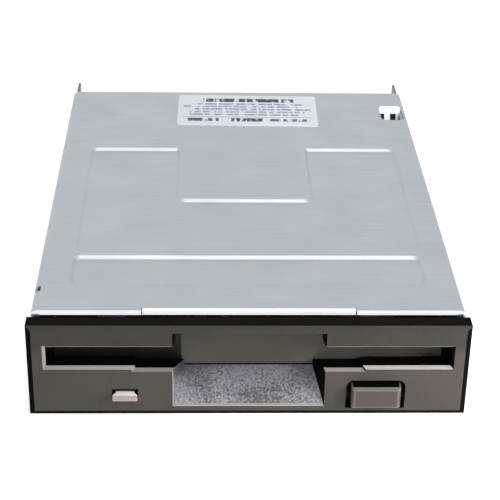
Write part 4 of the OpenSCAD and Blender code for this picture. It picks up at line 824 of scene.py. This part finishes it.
work = bmesh.new()
patch(work, spread, ys, folded)
lip_runs = [LIP_R * LIP_TURN * i / 6 for i in range(7)]
lip_straight = (LIP_H - LIP_R * (1 - math.cos(LIP_TURN))) / math.sin(LIP_TURN)
lip_runs += [lip_runs[-1] + lip_straight * i / 2 for i in (1, 2)]
patch(work, [s for s in spread if abs(s) <= STEP_HALF - SLIT / 2], lip_runs, lip)
for side in (-1, 1):
    patch(work, [s for s in spread if side * s >= STEP_HALF + SLIT / 2], (sheared, bend_mid), folded)
cover = put("top_cover_sheet", mesh_of("top_cover", work))
solid = cover.modifiers.new("sheet", "SOLIDIFY")
solid.thickness = SHEET
solid.offset = -1
solid.use_even_offset = True


def settle(obj, *cutters):
    """Cuts an object by others, which are then removed, and keeps the result as its mesh."""
    for cutter in cutters:
        cut = obj.modifiers.new("cut", "BOOLEAN")
        cut.object = cutter
        cut.operation = "DIFFERENCE"
        cut.solver = "EXACT"
    bpy.context.view_layer.update()
    whole = obj.evaluated_get(bpy.context.evaluated_depsgraph_get())
    mesh = bpy.data.meshes.new_from_object(whole)
    obj.modifiers.clear()
    obj.data = mesh
    for cutter in cutters:
        bpy.data.objects.remove(cutter)


def cutter_of(name, outline, z_low, z_high):
    """A plug with an outline in X and Y, for cutting a hole."""
    plug = bmesh.new()
    lower = [plug.verts.new((x, y, z_low)) for x, y in outline]
    upper = [plug.verts.new((x, y, z_high)) for x, y in outline]
    plug.faces.new(list(reversed(lower)))
    plug.faces.new(upper)
    skin(plug, (lower, upper))
    return put(name, mesh_of(name, plug))


def rounded_outline(x0, x1, y0, y1, radius, arc=6):
    """A rectangle with round corners, anticlockwise."""
    corners = ((x1 - radius, y0 + radius, -90), (x1 - radius, y1 - radius, 0),
               (x0 + radius, y1 - radius, 90), (x0 + radius, y0 + radius, 180))
    return [(x + radius * math.cos(math.radians(a + 90 * i / arc)),
             y + radius * math.sin(math.radians(a + 90 * i / arc)))
            for x, y, a in corners for i in range(arc + 1)]


WINDOW_W, WINDOW_L, WINDOW_R = 6.8 * MM, 10.4 * MM, 1.6 * MM
LUG_H, LUG_BAND, LUG_LEAN, LUG_BEND = 4.2 * MM, 1.1 * MM, 0.5, 0.8 * MM
WINDOW_SIDE, WINDOW_BACK = 1.1 * MM, 10 * MM
window_x = half_w - WINDOW_SIDE - WINDOW_W
lug_back = rear - WINDOW_BACK
under = top - SHEET
bend_angle = math.atan2(1, LUG_LEAN)
lug_start = lug_back - SHEET + LUG_LEAN * (SHEET - LUG_BEND * (1 - math.cos(bend_angle)))
lug_start += LUG_BEND * math.sin(bend_angle)
CUT_LOW, CUT_HIGH = top - 2 * MM, top + MM
window = cutter_of("window_plug", rounded_outline(window_x, window_x + WINDOW_W, lug_back - WINDOW_L,
                                                  lug_start, WINDOW_R), CUT_LOW, CUT_HIGH)
NOTCH_D, NOTCH_START, NOTCH_END = 1.5 * MM, front + 9.2 * MM, front + 11.4 * MM
outside, inside = -half_w - MM, -half_w + NOTCH_D
notch = cutter_of("notch_plug", [(outside, NOTCH_START), (inside, NOTCH_START), (inside, NOTCH_END),
                                 (outside, NOTCH_END)], CUT_LOW, CUT_HIGH)
outer_count = len(cover.data.vertices)
settle(cover)
# The shears leave the sheet's front edge slanting forward from its outer face to a burr at its inner one.
for vert in cover.data.vertices[outer_count:]:
    if vert.co.y < sheared + SLIT / 2:
        vert.co.y = front
        vert.co.z -= BURR
settle(cover, window, notch)

# The lug's front and back in side view, from the sheet down to the band's edge and then the tongues' ends.
# The gaps beside the tongues are sunk into its face, and are painted dark inside as the shade of holes.
face_line = [(lug_start - LUG_BEND * math.sin(a), top - LUG_BEND * (1 - math.cos(a)))
             for a in (bend_angle * i / 6 for i in range(7))]
back_line = [(lug_start + (lug_back - lug_start) * i / 6, under) for i in range(7)]
for drop in (LUG_BAND, LUG_H):
    face_line.append((lug_back - SHEET - LUG_LEAN * drop, under - drop))
    back_line.append((lug_back - LUG_LEAN * drop, under - drop))
# Across the window the lug has a gap, a tongue, a gap and a tongue.
LUG_PARTS, POCKET, POCKET_RIM = (0.003, 0.27, 0.53, 0.78, 0.997), 0.5 * MM, 0.05 * MM
edges_x = [window_x + WINDOW_W * part for part in LUG_PARTS]
last, gaps = len(face_line) - 1, []
lug = bmesh.new()
near = [[lug.verts.new((x, y, z)) for y, z in face_line] for x in edges_x]
far = [[lug.verts.new((x, y, z)) for y, z in back_line] for x in edges_x]
for k in range(len(edges_x) - 1):
    for i in range(last):
        shown = lug.faces.new((near[k][i], near[k + 1][i], near[k + 1][i + 1], near[k][i + 1]))
        if k in (0, 2) and i == last - 1:
            gaps.append(shown)
        lug.faces.new((far[k][i + 1], far[k + 1][i + 1], far[k + 1][i], far[k][i]))
    for i in (0, last):
        lug.faces.new((near[k][i], far[k][i], far[k + 1][i], near[k + 1][i]))
for k in (0, len(edges_x) - 1):
    for i in range(last):
        lug.faces.new((near[k][i], near[k][i + 1], far[k][i + 1], far[k][i]))
bmesh.ops.recalc_face_normals(lug, faces=lug.faces)
for gap in gaps:
    gap.material_index = 1
bmesh.ops.inset_individual(lug, faces=gaps, thickness=POCKET_RIM, depth=-POCKET)
lug_mesh = mesh_of("window_lug", lug)

# The cover's sheet is brighter than the chassis, because its plating was brightened.
bright_rolled = surface("zinc_plated_steel_bright_rolled", "#B7BCC1", "#AEB3B8", 0.45, (0.36, 0.46), 1.0,
                        relief=0.002, run=(30, 1, 30))
sheet_mesh = cover.data
bpy.data.objects.remove(cover)
sheet = piece("top_cover_sheet", sheet_mesh, bright_rolled, "drive", "zinc_steel", "top_cover")
# The front edge and the lug in the window are painted nearly white as highlights.
fresh_zinc = surface("zinc_plated_steel_painted_highlight", "#F8FAFB", "#EEF1F3", 0.45, (0.28, 0.36), 1.0,
                     run=(30, 1, 30))
# A dull near-black steel paints the shade in the lug's sunk gaps.
black_oxide = surface("steel_painted_shade", "#2E2F31", "#3A3B3D", 0.4, (0.5, 0.6), Specular_IOR_Level=0.05)
piece("top_cover_lug", lug_mesh, fresh_zinc, "drive", "zinc_steel").data.materials.append(black_oxide)
sheet.data.materials.append(fresh_zinc)
for face in sheet.data.polygons:
    if face.center.y < bend_mid and face.normal.y < -0.3:
        face.material_index = 1

# Label: white coated paper stuck to the rear of the cover, printed with broken dark bars above and below,
# rows of blue-grey bars between them and a rule, all without a meaning.
label_mid = sum(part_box("cover_label"), Vector()) / 2
LABEL_TURN, WORD_L, WORD_ROW = math.radians(1), 1.3 * MM, 9 * MM
# Coated paper is smooth and bluish white.
paper = surface("paper_coated_printed", "#EBF0F6", "#DEE5EE", 0.5, (0.4, 0.55), relief=0.003)
place = add(paper, "TexCoord").outputs["Object"]
moved = add(paper, "Mapping", {"Vector": place, "Location": -label_mid}).outputs["Vector"]
squared = add(paper, "Mapping", {"Vector": moved, "Rotation": (0, 0, LABEL_TURN)}).outputs["Vector"]
spaced_out = add(paper, "Mapping", {"Vector": squared, "Scale": (1 / WORD_L, 1 / WORD_ROW, 0)})
broken = add(paper, "TexNoise", {"Vector": spaced_out.outputs["Vector"], "Scale": 1.0, "Detail": 2.0})
words = add(paper, "MapRange", {"Value": broken.outputs["Fac"], "From Min": 0.42, "From Max": 0.5})
# Each printed bar: its middle and half size in mm across and along the label, its colour, and whether it
# is broken up into bars the length of words.
bars = [(0.4, 7.4, 13.6, 1.3, "#1C1E24", True), (0.4, 4.5, 16.5, 0.55, "#8E9AB4", True),
        (-2, 2.6, 17.0, 0.6, "#98A4BC", True), (1.5, 0.6, 17.5, 0.6, "#8C98B2", True),
        (0, -1.4, 17.0, 0.6, "#9AA6BE", True), (-1, -3.4, 16.0, 0.55, "#8F9BB4", True),
        (0, -5.2, 19.2, 0.12, "#7F8898", False), (-13.0, -7.2, 4.6, 1.1, "#3E444F", True),
        (0.0, -7.2, 4.8, 1.2, "#1C1E24", True), (12.0, -7.2, 5.4, 0.9, "#535B69", True)]
for x, y, half_x, half_y, colour, is_broken in bars:
    share = words.outputs["Result"] if is_broken else 1.0
    tint(paper, colour, (x - half_x, y - half_y), (x + half_x, y + half_y), squared, share)
dress(paper, "cover_label", edge=0.03)

# Floor, light and camera: the drive lies on a plain pale floor under soft studio light, with the main lamp
# in front and to the right, and the camera stands in front and above.
floor_mesh = bpy.data.meshes.new("floor")
FLOOR_HALF = 3.0
corners = [(x * FLOOR_HALF, y * FLOOR_HALF, 0) for x, y in ((-1, -1), (1, -1), (1, 1), (-1, 1))]
floor_mesh.from_pydata(corners, [], [(0, 1, 2, 3)])
floor = put("floor", floor_mesh)
floor.location.z = cad_box[0][2]


def seen(material):
    """1 for rays from the camera and by way of metal or glass, and else 0."""
    rays = add(material, "LightPath").outputs
    share = rays["Is Camera Ray"]
    for kind in ("Is Glossy Ray", "Is Transmission Ray"):
        share = add(material, "Math", {0: share, 1: rays[kind]}, operation="MAXIMUM").outputs[0]
    return share


# Matt paper backdrop: an even pale field, which looks white to the camera but keeps soft shadows.
GLOW, SKY_LIGHT, SKY_SHOWN = 0.55, 0.3, 1.0
backdrop = surface("paper_backdrop_matt", "#F2F2F2", "#EFEFEF", 40, (0.85, 0.95),
                   Emission_Color=(1, 1, 1, 1))
lift = add(backdrop, "Math", {0: seen(backdrop), 1: GLOW}, operation="MULTIPLY").outputs[0]
feed(backdrop, "Emission Strength", lift)
floor_mesh.materials.append(backdrop)

world = bpy.data.worlds.new("studio")
world.use_nodes = True
bpy.context.scene.world = world
sky = world.node_tree.nodes["Background"]
sky.inputs["Color"].default_value = (1, 1, 1, 1)
level = add(world, "MapRange", {"Value": seen(world), "To Min": SKY_LIGHT, "To Max": SKY_SHOWN})
world.node_tree.links.new(level.outputs["Result"], sky.inputs["Strength"])


def lamp(name, azimuth, elevation, distance, size, power, mirrored=True):
    """A soft square lamp that looks at the drive; azimuth is to the right of straight ahead. One that
    isn't mirrored doesn't show in shiny surfaces."""
    light = bpy.data.lights.new(name, "AREA")
    light.size = size
    light.energy = power
    made = put(name, light)
    a, e = math.radians(azimuth), math.radians(elevation)
    way = Vector((math.sin(a) * math.cos(e), -math.cos(a) * math.cos(e), math.sin(e)))
    made.location = way * distance
    made.rotation_euler = way.to_track_quat("Z", "Y").to_euler()
    made.visible_glossy = mirrored


# The two low lamps would glare in the cover seen from behind, so shiny surfaces don't show them.
lamp("key_lamp", 55, 20, 0.28, 0.1, 0.9, mirrored=False)
lamp("front_lamp", 4, 8, 0.8, 0.16, 0.9, mirrored=False)
lamp("lip_lamp", 12, 57, 0.8, 0.2, 1.0)
lamp("top_lamp", 0, 88, 1.0, 0.9, 2.5)

camera = put("camera", bpy.data.cameras.new("camera"))
camera.data.sensor_width = 36
camera.data.lens = 105.47
CAMERA_PLACE = Vector((-11.04, -353.28, 197.38)) * MM
PITCH, YAW, ROLL = math.radians(28.527), math.radians(-2.168), math.radians(1.157)
ahead = Vector((-math.sin(YAW) * math.cos(PITCH), math.cos(YAW) * math.cos(PITCH), -math.sin(PITCH)))
level_right = Vector((math.cos(YAW), math.sin(YAW), 0))
level_up = level_right.cross(ahead)
right = math.cos(ROLL) * level_right + math.sin(ROLL) * level_up
up = math.cos(ROLL) * level_up - math.sin(ROLL) * level_right
turned = Matrix((right, up, -ahead)).transposed().to_4x4()
camera.matrix_world = Matrix.Translation(CAMERA_PLACE) @ turned
bpy.context.scene.camera = camera
bpy.context.scene.view_settings.view_transform = "Standard"
